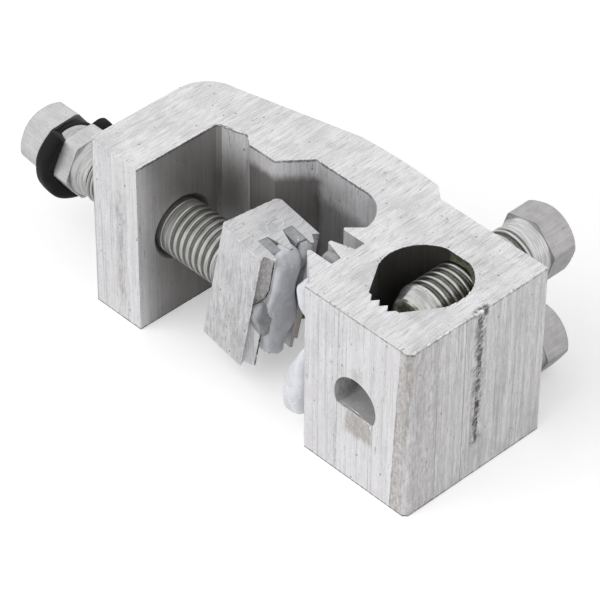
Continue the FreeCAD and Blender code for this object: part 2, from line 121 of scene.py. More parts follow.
def turn_matrix(yaw: float, pitch: float, roll: float) -> np.ndarray:
    """Turn about Z by the yaw, after Y by the pitch, after X by the roll, in degrees."""
    turn = Matrix.Identity(3)
    for angle, axis in ((yaw, "Z"), (pitch, "Y"), (roll, "X")):
        turn = turn @ Matrix.Rotation(math.radians(angle), 3, axis)
    return np.array(turn)


class Skin:
    """A closed surface on a grid whose rows are rings."""

    def __init__(self, rings: np.ndarray, joined: bool = False) -> None:
        """Keep the rings.

        Args:
            rings: Array (rows, columns, 3) in millimetres; each row runs round once.
            joined: True if the last ring joins the first; otherwise both ends get a pole.
        """
        self.rings = rings
        self.joined = joined

    def faces(self, points: np.ndarray) -> list[list[int]]:
        """Faces that look outward.

        Quads join each ring to the next, and fans join the end rings to the poles, which are
        the last two points. If the signed volume is negative, every face is turned round.

        Args:
            points: Array of all points.

        Returns:
            Numbers of the corners of each face.
        """
        rows, columns, _ = self.rings.shape
        place = np.arange(rows * columns).reshape(rows, columns)
        after = np.roll(place, -1, axis=0)
        quads = np.stack([place, np.roll(place, -1, axis=1), np.roll(after, -1, axis=1), after],
                         axis=-1)
        fans = []
        if not self.joined:
            quads = quads[:-1]
            poles = np.full(columns, rows * columns)
            fans = [np.stack([np.roll(place[0], -1), place[0], poles], axis=-1),
                    np.stack([place[-1], np.roll(place[-1], -1), poles + 1], axis=-1)]
        quads = quads.reshape(-1, 4)
        corner = points[quads]
        halves = np.cross(corner[:, 1], corner[:, 2]) + np.cross(corner[:, 2], corner[:, 3])
        step = -1 if (corner[:, 0] * halves).sum() < 0.0 else 1
        return [face for part in (quads, *fans) for face in part[:, ::step].tolist()]

    def mesh(self, name: str, crease: float, values: dict[str, np.ndarray] | None = None,
             soft: np.ndarray | None = None) -> bpy.types.Mesh:
        """Make the mesh, in metres.

        Args:
            name: Name of the mesh.
            crease: Angle in degrees past which an edge stays sharp.
            values: Named numbers of shape (rows, columns), kept as point attributes.
            soft: True for the points, of shape (rows, columns), whose edges are never sharp.

        Returns:
            The mesh.
        """
        points = [self.rings.reshape(-1, 3)]
        if not self.joined:
            points += [self.rings[:1].mean(axis=1), self.rings[-1:].mean(axis=1)]
        points = np.concatenate(points) * MM
        mesh = bpy.data.meshes.new(name)
        mesh.from_pydata(points.tolist(), [], self.faces(points))
        for label, numbers in (values or {}).items():
            attribute = mesh.attributes.new(label, "FLOAT", "POINT")
            spread = np.concatenate([numbers.ravel(), numbers[0, :1], numbers[-1, :1]])
            attribute.data.foreach_set("value", spread.astype(np.float32))
        mesh.shade_smooth()
        mesh.set_sharp_from_angle(angle=math.radians(crease))
        if soft is not None and "sharp_edge" in mesh.attributes:
            ends = np.empty(2 * len(mesh.edges), dtype=np.int32)
            mesh.edges.foreach_get("vertices", ends)
            sharp = np.empty(len(mesh.edges), dtype=bool)
            mesh.attributes["sharp_edge"].data.foreach_get("value", sharp)
            keep = np.concatenate([soft.ravel(), [False, False]])[ends.reshape(-1, 2)].all(axis=1)
            mesh.attributes["sharp_edge"].data.foreach_set("value", sharp & ~keep)
        mesh.validate()
        return mesh


def show(mesh: bpy.types.Mesh, body: str, slot: str, finish: Material, *nodes: str) -> None:
    """Put a mesh in the scene as one piece.

    Args:
        mesh: Mesh with its place in its points.
        body: Name of the body that carries it.
        slot: Material slot of the record; not used.
        finish: Material of the piece.
        nodes: Solids that the piece stands for.
    """
    piece = bpy.data.objects.new(mesh.name, mesh)
    bpy.context.scene.collection.objects.link(piece)
    mesh.materials.append(finish)
    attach(piece, body)
    if nodes:
        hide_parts(*nodes)
    LOG.info("%s: %d faces on %s", piece.name, len(mesh.polygons), body)


def dress(node: str, finish: Material) -> None:
    """Give a solid of the frame its material."""
    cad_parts[node].data.materials.clear()
    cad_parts[node].data.materials.append(finish)


def lump(stations: list[tuple[float, float, float, float, float]], seed: int,
         ripple: float = 0.15, squareness: float = 2.0, bluntness: float = 2.0,
         rows: int = 60, columns: int = 48) -> np.ndarray:
    """Rings of a soft closed lump.

    A ring is a superellipse whose centre and half widths run along the stations. Near both
    ends it shrinks as the root of one less a power of the distance from the middle. A sum of
    sine waves moves its points in and out.

    Args:
        stations: Centre x, y, z and half widths along x and y, in millimetres.
        seed: Number that fixes the ripple.
        ripple: Height of the ripple in millimetres.
        squareness: Power of the superellipse, 2 for an ellipse.
        bluntness: Power of the ends, higher for blunter ones.
        rows: Rings from end to end.
        columns: Points round a ring.

    Returns:
        Array (rows, columns, 3).
    """
    tip, ripples, tiny = 0.02, 0.9, 1e-6
    share = (1.0 - np.cos(np.linspace(tip, math.pi - tip, rows))) / 2.0
    values = along(np.array(stations), share)
    centre = values[:, None, :3]
    shrink = np.sqrt(np.clip(1.0 - np.abs(2.0 * share - 1.0) ** bluntness, 0.0, 1.0))[:, None]
    angle = full_turn(columns)[None, :]
    x, y = (np.sign(wave) * np.abs(wave) ** (2.0 / squareness) * values[:, part:part + 1] * shrink
            for wave, part in ((np.cos(angle), 3), (np.sin(angle), 4)))
    out = np.stack([x, y, np.zeros_like(x)], axis=-1)
    length = np.linalg.norm(out, axis=-1, keepdims=True) + tiny
    wave = smooth_noise((out + centre) * ripples, seed)[..., None] * shrink[..., None]
    return centre + out + out / length * wave * ripple


def burr(path: list[Triple], size: float, seed: int, least: float = 0.05) -> np.ndarray:
    """Rings of a burr: a thin tube along an edge whose radius follows a noise.

    Args:
        path: Corners of the edge in millimetres.
        size: Largest radius in millimetres.
        seed: Number that fixes the noise.
        least: Smallest radius as a share of the largest.

    Returns:
        Array (rows, sides, 3).
    """
    sides, spacing, fewest = 6, 0.22, 8
    mean, swing = 0.28, 0.45
    corners = np.array(path)
    steps = np.linalg.norm(np.diff(corners, axis=0), axis=1)
    total = np.concatenate([[0.0], np.cumsum(steps)])
    place = np.linspace(0.0, total[-1], max(fewest, int(total[-1] / spacing)))
    line = np.stack([np.interp(place, total, corners[:, axis]) for axis in range(3)], axis=1)
    direction = np.gradient(line, axis=0)
    direction /= np.linalg.norm(direction, axis=1, keepdims=True)
    upright = np.where(np.abs(direction[:, 2:3]) > 0.9, [[1.0, 0.0, 0.0]], [[0.0, 0.0, 1.0]])
    side = np.cross(direction, upright)
    side /= np.linalg.norm(side, axis=1, keepdims=True)
    rise = np.cross(side, direction)
    noise = smooth_noise(place[:, None] * 2.2, seed) + smooth_noise(place[:, None] * 6.0, seed + 1)
    radius = size * np.clip(mean + swing * noise, least, 1.0)[:, None, None]
    angle = full_turn(sides)[None, :, None]
    return line[:, None] + radius * (np.cos(angle) * side[:, None] + np.sin(angle) * rise[:, None])


# Finishes

class Graph:
    """Node graph of a material or a world, written as short calls that return sockets."""

    def __init__(self, owner: Material | bpy.types.World, shader: str = "Principled BSDF") -> None:
        """Take the nodes of a material or a world, and the shader that stands in them."""
        owner.use_nodes = True
        self.owner = owner
        self.shader = owner.node_tree.nodes[shader]

    @cached_property
    def point(self) -> Socket:
        """Place in millimetres."""
        return self.stretch(self.add("TexCoord", {}, "Object"), 1.0 / MM)

    @cached_property
    def normal(self) -> Socket:
        """Direction that a surface faces."""
        return self.add("TexCoord", {}, "Normal")

    def put(self, socket: Socket, value: object) -> None:
        """Link a socket to another, or give it a constant.

        Args:
            socket: Input of a node.
            value: Output of another node, number or tuple; a colour has three parts.
        """
        if isinstance(value, bpy.types.NodeSocket):
            self.owner.node_tree.links.new(value, socket)
        elif isinstance(value, tuple) and len(value) == 3 and socket.type == "RGBA":
            socket.default_value = (*value, 1.0)
        else:
            socket.default_value = value

    def add(self, kind: str, inputs: dict[int | str, object], output: int | str = 0,
            **settings: object) -> Socket:
        """Add a node.

        Args:
            kind: Type of the node without the words ShaderNode.
            inputs: Values or sockets, by the number or name of the input.
            output: Number or name of the output that is wanted.
            settings: Properties of the node.

        Returns:
            The output.
        """
        made = self.owner.node_tree.nodes.new("ShaderNode" + kind)
        for key, value in settings.items():
            setattr(made, key, value)
        for key, value in inputs.items():
            self.put(made.inputs[key], value)
        return made.outputs[output]

    def part(self, vector: Socket, axis: int) -> Socket:
        """Part of a vector along x, y or z, numbered from 0."""
        return self.add("SeparateXYZ", {0: vector}, axis)

    def stretch(self, vector: Socket, factors: Triple | float) -> Socket:
        """Vector with each part multiplied by its factor, or all by one number."""
        factors = factors if isinstance(factors, tuple) else (factors,) * 3
        return self.add("VectorMath", {0: vector, 1: factors}, operation="MULTIPLY")

    def facing(self, direction: Triple) -> Socket:
        """Share of a surface that faces a direction, 0 below and 1 above about 50 degrees."""
        cosine = self.add("VectorMath", {0: self.normal, 1: direction}, "Value",
                          operation="DOT_PRODUCT")
        return self.ramp(cosine, 0.5, 0.75)

    def math(self, operation: str, first: object, second: object = 0.0) -> Socket:
        """Result of one operation on two numbers."""
        return self.add("Math", {0: first, 1: second}, operation=operation)

    def times(self, first: object, second: object) -> Socket:
        """Product of two numbers."""
        return self.math("MULTIPLY", first, second)

    def plus(self, first: object, second: object) -> Socket:
        """Sum of two numbers."""
        return self.math("ADD", first, second)

    def minus(self, first: object, second: object) -> Socket:
        """First number less the second."""
        return self.math("SUBTRACT", first, second)

    def weigh(self, *parts: tuple[Socket, float]) -> Socket:
        """Sum of numbers, each multiplied by its weight."""
        products = [self.times(value, weight) for value, weight in parts]
        return reduce(self.plus, products)

    def grain(self, factors: Triple | float, detail: float = 2.0, roughness: float = 0.5,
              distortion: float = 0.0, turn: Triple = (0.0, 0.0, 0.0)) -> Socket:
        """Noise from 0 to 1 at the place in millimetres.

        Args:
            factors: What the parts of the turned place are multiplied by.
            detail: Octaves of the noise.
            roughness: Weight of an octave as a share of the one before.
            distortion: How far the noise is bent by itself.
            turn: Angles in degrees by which the place is turned first.

        Returns:
            Socket of the noise.
        """
        place = self.point
        if any(turn):
            angles = tuple(math.radians(angle) for angle in turn)
            place = self.add("Mapping", {"Vector": place, "Rotation": angles}, vector_type="POINT")
        inputs = {"Vector": self.stretch(place, factors), "Scale": 1.0, "Detail": detail,
                  "Roughness": roughness, "Distortion": distortion}
        return self.add("TexNoise", inputs, "Fac")

    def spots(self, factors: Triple | float, near: float, far: float) -> Socket:
        """Spots round scattered points: 1 within the near distance and 0 past the far one."""
        place = self.stretch(self.point, factors)
        distance = self.add("TexVoronoi", {"Vector": place, "Scale": 1.0}, "Distance")
        return self.ramp(distance, near, far, 1.0, 0.0)

    def pits(self, factors: Triple | float, patches: Triple | float, low: float) -> Socket:
        """Small pits, kept where a wide noise rises past a threshold."""
        keep = self.ramp(self.grain(patches), low, low + 0.08)
        return self.times(self.spots(factors, 0.06, 0.16), keep)

    def ramp(self, value: Socket, low: float, high: float, start: float = 0.0,
             end: float = 1.0) -> Socket:
        """Smooth change from start at low to end at high."""
        inputs = dict(enumerate((value, low, high, start, end)))
        return self.add("MapRange", inputs, interpolation_type="SMOOTHSTEP")

    def mix(self, share: object, first: object, second: object) -> Socket:
        """Colour between two colours."""
        return self.add("Mix", {0: share, 6: first, 7: second}, 2, data_type="RGBA")

    def bump(self, height: Socket, distance: float, strength: float,
             under: Socket | None = None) -> Socket:
        """Normal tilted by a height, over another; the distance is in millimetres."""
        inputs = {"Height": height, "Distance": distance * MM, "Strength": strength}
        return self.add("Bump", inputs if under is None else inputs | {"Normal": under})

    def shade(self, **inputs: object) -> Material | bpy.types.World:
        """Set the shader's inputs, named with underscores for spaces, and give the owner."""
        for key, value in inputs.items():
            self.put(self.shader.inputs[key.replace("_", " ")], value)
        return self.owner


@dataclass(frozen=True)
class Mark:
    """A stain, shadowed wall or torn streak: a box or a ball with ragged edges.

    The centre moves along x by the drift for each millimetre of height. A patchy mark is
    broken by a fine noise that is turned about X and stretched by its own factors.
    """

    centre: Triple
    half: Triple
    colour: Triple
    amount: float = 1.0
    soft: float = 0.6
    ragged: float = 1.0
    facing: Triple | None = None
    patchy: float = 0.0
    drift: float = 0.0
    ball: bool = False
    grain: Triple = (1.2, 1.2, 0.35)
    patch_grain: Triple = (2.4, 2.4, 1.5)
    patch_turn: float = 0.0

    def mask(self, graph: Graph) -> Socket:
        """Share of the mark at each place.

        A box is the product over the axes of a smooth step down at its half size; a ball is
        one smooth step down at the scaled distance 1.

        Args:
            graph: Graph that gets the nodes.

        Returns:
            Socket from 0 to the amount.
        """
        noise = graph.grain(self.grain, 3.0, 0.6)
        shift = graph.times(graph.minus(noise, 0.5), 2.0 * self.ragged)
        x, y, z = (graph.part(graph.point, axis) for axis in range(3))
        moved = graph.times(graph.minus(z, self.centre[2]), self.drift)
        total: object = self.amount
        squares: object = 0.0
        for part, centre, half in zip((graph.minus(x, moved), y, z), self.centre, self.half):
            away = graph.math("ABSOLUTE", graph.minus(part, centre))
            if self.ball:
                share = graph.math("DIVIDE", away, half)
                squares = graph.plus(graph.times(share, share), squares)
            else:
                step = graph.ramp(graph.plus(away, shift), half - self.soft, half + self.soft,
                                  1.0, 0.0)
                total = graph.times(step, total)
        if self.ball:
            reach = sum(self.half) / 3.0
            away = graph.plus(graph.math("SQRT", squares), graph.math("DIVIDE", shift, reach))
            blur = self.soft / reach
            total = graph.times(graph.ramp(away, 1.0 - blur, 1.0 + blur, 1.0, 0.0), total)
        if self.patchy > 0.0:
            fine = graph.grain(self.patch_grain, 4.0, 0.7, turn=(self.patch_turn, 0.0, 0.0))
            total = graph.times(total, graph.ramp(fine, 0.42, 0.60, 1.0 - self.patchy, 1.0))
        if self.facing is not None:
            total = graph.times(total, graph.facing(self.facing))
        return total


@dataclass(frozen=True)
class SawnExtrusion:
    """Mill finish aluminium: saw lines on the ends, drawn lines along the sides, marks."""

    name: str
    saw_angle: float
    marks: tuple[Mark, ...]
    end_dark: Triple = (0.63, 0.63, 0.64)
    end_light: Triple = (0.88, 0.88, 0.89)
    side_dark: Triple = (0.69, 0.682, 0.695)
    side_light: Triple = (0.92, 0.915, 0.93)
    side_warm: Triple = (0.68, 0.645, 0.65)
    line: Triple = (0.27, 0.265, 0.27)
    pit: Triple = (0.14, 0.135, 0.135)

    def build(self) -> Material:
        """Make the material.

        The tone of an end follows noise drawn out along the saw lines, and that of a side
        noise drawn out along Z. Sparse dark lines, scattered pits and a slow cloud are added.

        Returns:
            The material.
        """
        graph = Graph(bpy.data.materials.new(self.name))
        end = graph.ramp(graph.math("ABSOLUTE", graph.part(graph.normal, 2)), 0.7, 0.9)
        side = graph.minus(1.0, end)
        angle = self.saw_angle
        saw = graph.grain((1.5, 0.11, 1.0), 4.0, 0.62, turn=(0.0, 0.0, angle))
        saw_fine = graph.grain((6.0, 0.34, 1.0), 3.0, 0.6, turn=(0.0, 0.0, angle - 6.0))
        drawn = graph.grain((1.2, 1.2, 0.03), 4.0, 0.65)
        drawn_fine = graph.grain((6.5, 6.5, 0.16), 3.0, 0.65)
        cloud = graph.grain((0.16, 0.16, 0.11), 3.0, 0.6)
        grit = graph.grain((3.2, 3.2, 2.2), 4.0, 0.7)
        end_share, side_share = (
            graph.weigh((coarse, 0.30), (fine, 0.24), (grit, 0.28), (cloud, 0.26))
            for coarse, fine in ((saw, saw_fine), (drawn, drawn_fine)))
        end_tone = graph.mix(graph.ramp(end_share, 0.44, 0.64), self.end_dark, self.end_light)
        side_tone = graph.mix(graph.ramp(side_share, 0.42, 0.62), self.side_dark, self.side_light)
        side_tone = graph.mix(graph.ramp(cloud, 0.45, 0.7, 0.0, 0.35), side_tone, self.side_warm)
        colour = graph.mix(end, side_tone, end_tone)
        # sparse dark lines: turn, factors, threshold of the noise, share of the surface, amount
        for turn, factors, low, share, amount in (
                (angle + 1.0, (5.0, 0.16, 1.0), 0.61, end, 0.42),
                (angle - 8.0, (3.6, 0.34, 1.0), 0.66, end, 0.50),
                (angle + 7.0, (6.0, 0.26, 1.0), 0.66, end, 0.40),
                (0.0, (4.6, 4.6, 0.03), 0.64, side, 0.34),
                (0.0, (3.0, 3.0, 0.30), 0.68, side, 0.50)):
            noise = graph.grain(factors, 1.0, 0.5, turn=(0.0, 0.0, turn))
            line = graph.times(graph.ramp(noise, low, low + 0.07), share)
            colour = graph.mix(graph.times(line, amount), colour, self.line)
        pits = graph.pits((0.62, 0.62, 0.42), (0.4, 0.4, 0.3), 0.50)
        colour = graph.mix(graph.times(pits, 0.75), colour, self.pit)
        rough_spots: object = 0.0
        shadow = graph.ramp(drawn, 0.35, 0.65, 0.25, 0.0)
        for mark in self.marks:
            mask = mark.mask(graph)
            half_tone = tuple(0.5 * part for part in mark.colour)
            colour = graph.mix(mask, colour, graph.mix(shadow, mark.colour, half_tone))
            if mark.patchy > 0.0:
                rough_spots = graph.plus(mask, rough_spots)
        normal = graph.bump(graph.mix(end, drawn_fine, saw_fine), 0.05, 0.5)
        normal = graph.bump(pits, -0.12, 0.8, normal)
        normal = graph.bump(graph.times(rough_spots, grit), -0.35, 0.9, normal)
        roughness = graph.ramp(cloud, 0.3, 0.7, 0.42, 0.56)
        return graph.shade(Base_Color=colour, Metallic=0.78, Roughness=roughness, Normal=normal)


class Axis(Enum):
    """Direction along which a bolt lies, as factors that draw a noise out along it."""

    X = (0.12, 3.0, 3.0)
    Y = (3.0, 0.12, 3.0)


@dataclass(frozen=True)
class TurnedBolt:
    """Bolt aluminium: drawn hexagon flats, bright turned necks, stained thread roots."""

    name: str
    axis: Axis
    flat_dark: Triple
    flat_light: Triple
    bright: Triple
    dull: Triple
    stain: float = 0.92
    root_tint: Triple = (0.10, 0.10, 0.075)
    film: Triple = (0.22, 0.235, 0.13)
    pit: Triple = (0.15, 0.14, 0.14)

    def build(self) -> Material:
        """Make the material.

        The attribute flat is 1 on the hexagons, whose tone is noise drawn out along the
        axis. The attribute root is the depth under the thread's crest, 1 at the root. The
        attribute film is 1 where an olive film of oil lies on the metal.

        Returns:
            The material.
        """
        graph = Graph(bpy.data.materials.new(self.name))
        flat, root, oily = (graph.add("Attribute", {}, "Fac", attribute_name=name)
                            for name in ("flat", "root", "film"))
        drawn = graph.grain(self.axis.value, 4.0, 0.7)
        grit = graph.grain(2.2, 4.0, 0.65)
        rings = graph.grain(tuple(5.0 if part < 1.0 else 0.2 for part in self.axis.value), 2.0, 0.6)
        slow = graph.grain(0.35, 3.0, 0.6)
        tone = graph.weigh((drawn, 0.45), (grit, 0.20), (slow, 0.35))
        flats = graph.mix(graph.ramp(tone, 0.36, 0.64), self.flat_dark, self.flat_light)
        turned = graph.mix(graph.ramp(rings, 0.3, 0.7), self.dull, self.bright)
        turned = graph.mix(graph.times(oily, graph.ramp(slow, 0.40, 0.56)), turned, self.film)
        colour = graph.mix(flat, turned, flats)
        stain = graph.times(graph.ramp(root, 0.05, 0.55), graph.ramp(grit, 0.2, 0.6, 0.75, 1.0))
        colour = graph.mix(graph.times(stain, self.stain), colour, self.root_tint)
        pits = graph.pits(0.8, 0.5, 0.48)
        colour = graph.mix(graph.times(pits, 0.6), colour, self.pit)
        normal = graph.bump(graph.mix(flat, rings, drawn), 0.02, 0.4)
        normal = graph.bump(pits, -0.08, 0.6, normal)
        return graph.shade(Base_Color=colour, Metallic=graph.ramp(oily, 0.0, 1.0, 0.90, 0.50),
                           Roughness=graph.ramp(flat, 0.0, 1.0, 0.28, 0.45), Normal=normal)


@dataclass(frozen=True)
class ContactGrease:
    """Translucent bluish grey paste with a wet skin and small air pockets that are painted white as
    glints.
    """

    name: str = "contact_grease"
    deep: Triple = (0.63, 0.645, 0.68)
    pale: Triple = (0.76, 0.775, 0.815)
    glint_white: Triple = (0.97, 0.98, 1.0)
    # centre and reach of each cluster of painted glints
    clusters: tuple[tuple[Triple, float], ...] = (
        ((-16.9, -4.0, 17.4), 2.4), ((-15.6, -0.8, 29.6), 2.0), ((-4.2, -10.8, 10.0), 2.4),
        ((-16.0, 4.0, 32.5), 1.6))

    def build(self) -> Material:
        """Make the material: a cloudy tone with pin-sized air pockets that lift the skin, painted
        white as glints.

        Returns:
            The material.
        """
        graph = Graph(bpy.data.materials.new(self.name))
        cloud = graph.grain((0.35, 0.35, 0.25), 4.0, 0.6, 0.6)
        colour = graph.mix(graph.ramp(cloud, 0.35, 0.65), self.deep, self.pale)
        patches = graph.ramp(graph.grain(0.35), 0.55, 0.65)
        bubble_glints = graph.times(graph.spots(1.5, 0.12, 0.2), patches)
        glint_beads = graph.spots(1.25, 0.22, 0.32)
        for centre, reach in self.clusters:
            cluster = Mark(centre, (reach,) * 3, self.glint_white, ball=True).mask(graph)
            bubble_glints = graph.math("MAXIMUM", bubble_glints, graph.times(glint_beads, cluster))
        # painted glints: the air pockets and the clusters are coloured near white
        colour = graph.mix(graph.times(bubble_glints, 0.95), colour, self.glint_white)
        normal = graph.bump(graph.grain((0.8, 0.8, 0.35), 3.0, 0.55), 0.22, 0.5)
        normal = graph.bump(bubble_glints, 0.12, 0.8, normal)
        return graph.shade(Base_Color=colour, Roughness=0.30, Normal=normal, IOR=1.46,
                           Subsurface_Weight=0.30, Subsurface_Radius=(1.0, 1.05, 1.15),
                           Subsurface_Scale=0.0012, Coat_Weight=0.25, Coat_Roughness=0.15)


@dataclass(frozen=True)
class BlackRubber:
    """Moulded rubber with a faint sheen and dust."""

    rubber: Triple = (0.007, 0.0065, 0.0068)
    dusty: Triple = (0.05, 0.048, 0.048)

    def build(self) -> Material:
        """Make the material: near black with pale dust where a noise is high.

        Returns:
            The material.
        """
        graph = Graph(bpy.data.materials.new("black_rubber"))
        dust = graph.grain(1.4, 4.0, 0.7)
        colour = graph.mix(graph.ramp(dust, 0.55, 0.8, 0.0, 0.4), self.rubber, self.dusty)
        return graph.shade(Base_Color=colour, Roughness=graph.ramp(dust, 0.3, 0.7, 0.42, 0.6),
                           Specular_IOR_Level=0.18,
                           Normal=graph.bump(graph.grain(6.0), 0.04, 0.5))


@dataclass(frozen=True)
class BrightBurr:
    """Freshly torn aluminium along a sawn edge."""

    name: str
    colour: Triple = (0.88, 0.88, 0.89)
    broken: Triple = (0.36, 0.35, 0.35)

    def build(self) -> Material:
        """Make the material: bright, with short darker breaks.

        Returns:
            The material.
        """
        graph = Graph(bpy.data.materials.new(self.name))
        breaks = graph.ramp(graph.grain(1.3, 3.0, 0.7), 0.5, 0.68)
        return graph.shade(Base_Color=graph.mix(breaks, self.colour, self.broken), Metallic=0.85,
                           Roughness=0.3, Normal=graph.bump(graph.grain(5.0), 0.06, 0.6))


# Marks

# painted shade on the walls of the cavity
CAVITY_SHADE = (0.17, 0.16, 0.148)
# painted shade inside the bore
BORE_SHADE = (0.05, 0.046, 0.04)
STAIN = (0.48, 0.44, 0.40)
SCRATCH = (0.16, 0.155, 0.155)
# factors of a noise that draws the edges of a mark out along the section
UPRIGHT = (0.6, 0.6, 0.12)

# the cavity, the bore and the window, the lower marks first
INNER_MARKS = (
    # arm wall: painted shade, darker away from the front edge, and a dark ring round the bolt
    Mark((ARM_WALL, 14.0, 20.0), (9.0, 23.0, 30.0), CAVITY_SHADE, 0.58, 3.5, 0.5, TO_RIGHT),
    Mark((ARM_WALL, 6.0, 20.0), (9.0, 9.5, 30.0), CAVITY_SHADE, 0.32, 3.0, 0.8, TO_RIGHT),
    Mark((ARM_WALL, 0.0, 20.0), (3.0, 6.9, 6.9), (0.05, 0.05, 0.04), 0.80, 0.35, 0.2, TO_RIGHT,
         ball=True),
    Mark((ARM_WALL, -1.0, 39.6), (0.7, 11.0, 0.20), SCRATCH, 0.80, 0.12, 0.55, TO_RIGHT,
         grain=(1.2, 1.2, 0.6)),
    # relief walls: painted shade, a dark band behind the jaw under the lit top
    Mark((-43.0, 10.5, 14.0), (4.5, 6.0, 19.5), CAVITY_SHADE, 0.70, 5.0, 0.6, TO_VIEWER),
    Mark((-31.5, 12.5, 16.0), (7.6, 6.0, 19.8), CAVITY_SHADE, 0.82, 1.3, 1.0, TO_VIEWER),
    Mark((-18.5, 14.5, 14.0), (7.0, 4.0, 17.6), CAVITY_SHADE, 0.58, 1.5, 1.2, TO_VIEWER),
    Mark((-29.0, 12.0, 39.6), (19.0, 5.0, 0.20), SCRATCH, 0.75, 0.12, 0.55, TO_VIEWER,
         grain=(1.2, 1.2, 0.6)),
    # shaded flanks of the fixed teeth
    Mark((-4.5, 5.0, 20.0), (5.0, 8.0, 22.0), (0.34, 0.33, 0.32), 0.50, 0.8, 0.5, TO_FRONT),
    # bore: painted shade, an olive patch, and painted light on its right wall
    Mark((13.3, 8.4, 20.0), (9.35, 12.4, 19.9), BORE_SHADE, 0.93, 0.15, 0.05),
    Mark((16.2, 14.5, 37.6), (4.6, 6.0, 1.9), (0.34, 0.38, 0.22), 0.85, 0.5, 0.9,
         (-0.45, -0.9, 0.0), 0.8, patch_grain=(1.4, 1.4, 1.4)),
    Mark((21.6, 8.0, 30.0), (1.7, 5.0, 12.0), (0.34, 0.315, 0.275), 0.80, 0.8, 0.8,
         (-1.0, 0.0, 0.0)),
    # round window: painted light on its floor and painted shade on its left wall
    Mark((13.8, -8.0, 17.8), (4.6, 3.3, 1.0), (1.0, 1.0, 1.0), 1.0, 0.4, 0.5, TO_TOP),
    Mark((10.0, -8.0, 21.5), (2.0, 3.3, 4.0), (0.26, 0.255, 0.25), 0.60, 0.6, 0.6, TO_RIGHT),
)
# the right face and the strip by its front corner, the lower marks first
RIGHT_MARKS = (
    # torn streak: a hatched band, a dark core and its dark start
    Mark((RIGHT, 6.7, 24.0), (0.8, 1.3, 17.0), (0.20, 0.19, 0.185), 0.85, 0.8, 1.8, patchy=0.95,
         grain=(0.7, 0.7, 0.3), patch_grain=(0.9, 0.9, 3.0), patch_turn=-19.0),
    Mark((RIGHT, 6.7, 24.5), (0.8, 0.50, 16.5), (0.045, 0.043, 0.042), 1.0, 0.30, 1.4, patchy=0.75,
         grain=(0.6, 0.6, 0.35), patch_grain=(0.8, 0.8, 1.6), patch_turn=-19.0),
    Mark((RIGHT, 8.1, 39.2), (0.8, 0.6, 1.0), (0.05, 0.045, 0.045), 0.9, 0.4, 0.5),
    # brown tint near the corner and faint stripes over the whole face
    Mark((RIGHT, -8.0, 20.0), (0.8, 4.6, 22.0), (0.50, 0.465, 0.445), 0.55, 1.6, 1.6, patchy=0.8,
         patch_grain=(1.6, 1.6, 0.6)),
    Mark((RIGHT, 6.0, 20.0), (0.8, 19.0, 22.0), (0.40, 0.38, 0.385), 0.22, 0.5, 0.5, TO_RIGHT, 1.0,
         patch_grain=(1.0, 0.9, 0.02)),
    Mark((RIGHT, 6.0, 20.0), (0.8, 19.0, 22.0), (0.36, 0.345, 0.34), 0.22, 0.5, 0.5, TO_RIGHT, 1.0,
         patch_grain=(2.4, 2.4, 0.35)),
    Mark((RIGHT, 3.0, 20.0), (0.8, 0.10, 20.0), (0.22, 0.21, 0.21), 0.5, 0.1, 0.16, grain=UPRIGHT),
    Mark((RIGHT, -4.0, 20.0), (0.8, 0.10, 20.0), (0.26, 0.25, 0.25), 0.4, 0.1, 0.12, grain=UPRIGHT),
    # brown strip by the front corner and its dark edge
    Mark((25.05, FRONT, 18.5), (1.35, 0.9, 21.0), STAIN, 0.72, 0.30, 0.60, None, 0.65, 0.045,
         grain=(0.8, 0.8, 0.2), patch_grain=(1.4, 1.4, 0.8)),
    Mark((23.75, FRONT, 20.0), (0.12, 0.8, 20.0), (0.20, 0.185, 0.175), 0.65, 0.12, 0.35, None, 0.6,
         0.045, grain=(0.8, 0.8, 0.25), patch_grain=(1.0, 1.0, 1.0)),
)
# the front faces and the edges, the lower marks first
FRONT_MARKS = (
    # thin lines
    Mark((8.6, FRONT, 20.0), (0.09, 0.8, 20.0), SCRATCH, 0.55, 0.08, 0.22, None, 0.6, 0.012,
         grain=UPRIGHT, patch_grain=(0.8, 0.8, 0.7)),
    *(Mark((x, FRONT, 20.0), (half, 0.8, 20.0), SCRATCH, 0.35, 0.08, 0.15, grain=UPRIGHT)
      for x, half in ((3.6, 0.06), (17.9, 0.05))),
    # stain over and under the round window
    Mark((13.6, FRONT, 26.4), (1.4, 0.8, 1.4), STAIN, 0.40, 0.9, 1.1, TO_FRONT, 0.4),
    Mark((14.2, FRONT, 14.4), (3.2, 0.8, 2.6), STAIN, 0.85, 0.9, 1.3, TO_FRONT, 0.35),
    Mark((13.6, FRONT, 17.4), (4.2, 0.8, 0.22), SCRATCH, 0.65, 0.2, 0.4, TO_FRONT, 0.5,
         grain=(1.2, 1.2, 1.2)),
    # arm front
    Mark((-51.5, FRONT, 17.5), (0.9, 0.8, 14.0), SCRATCH, 0.34, 0.9, 0.9, TO_FRONT, 1.0,
         patch_grain=(1.6, 1.6, 0.35)),
    Mark((-53.5, FRONT, 17.5), (5.0, 0.8, 18.0), SCRATCH, 0.06, 0.9, 0.9, TO_FRONT, 1.0,
         patch_grain=(1.2, 1.2, 0.14)),
    Mark((-58.9, FRONT, 20.0), (0.12, 0.8, 21.0), SCRATCH, 0.50, 0.12, 0.3, grain=UPRIGHT),
    # dark ragged lines under the top edges and a dark band along the bottom edges
    Mark((13.2, FRONT, 39.55), (14.0, 0.8, 0.16), SCRATCH, 0.70, 0.12, 0.42, TO_FRONT, 0.5,
         grain=(1.5, 1.5, 0.5)),
    Mark((RIGHT, 6.0, 39.6), (0.8, 19.0, 0.14), SCRATCH, 0.70, 0.12, 0.45, TO_RIGHT, 0.5,
         grain=(1.5, 1.5, 0.5)),
    Mark((-16.0, 7.0, 0.0), (50.0, 30.0, 0.22), (0.10, 0.095, 0.09), 0.85, 0.14, 0.45,
         grain=(1.5, 1.5, 0.2)),
)
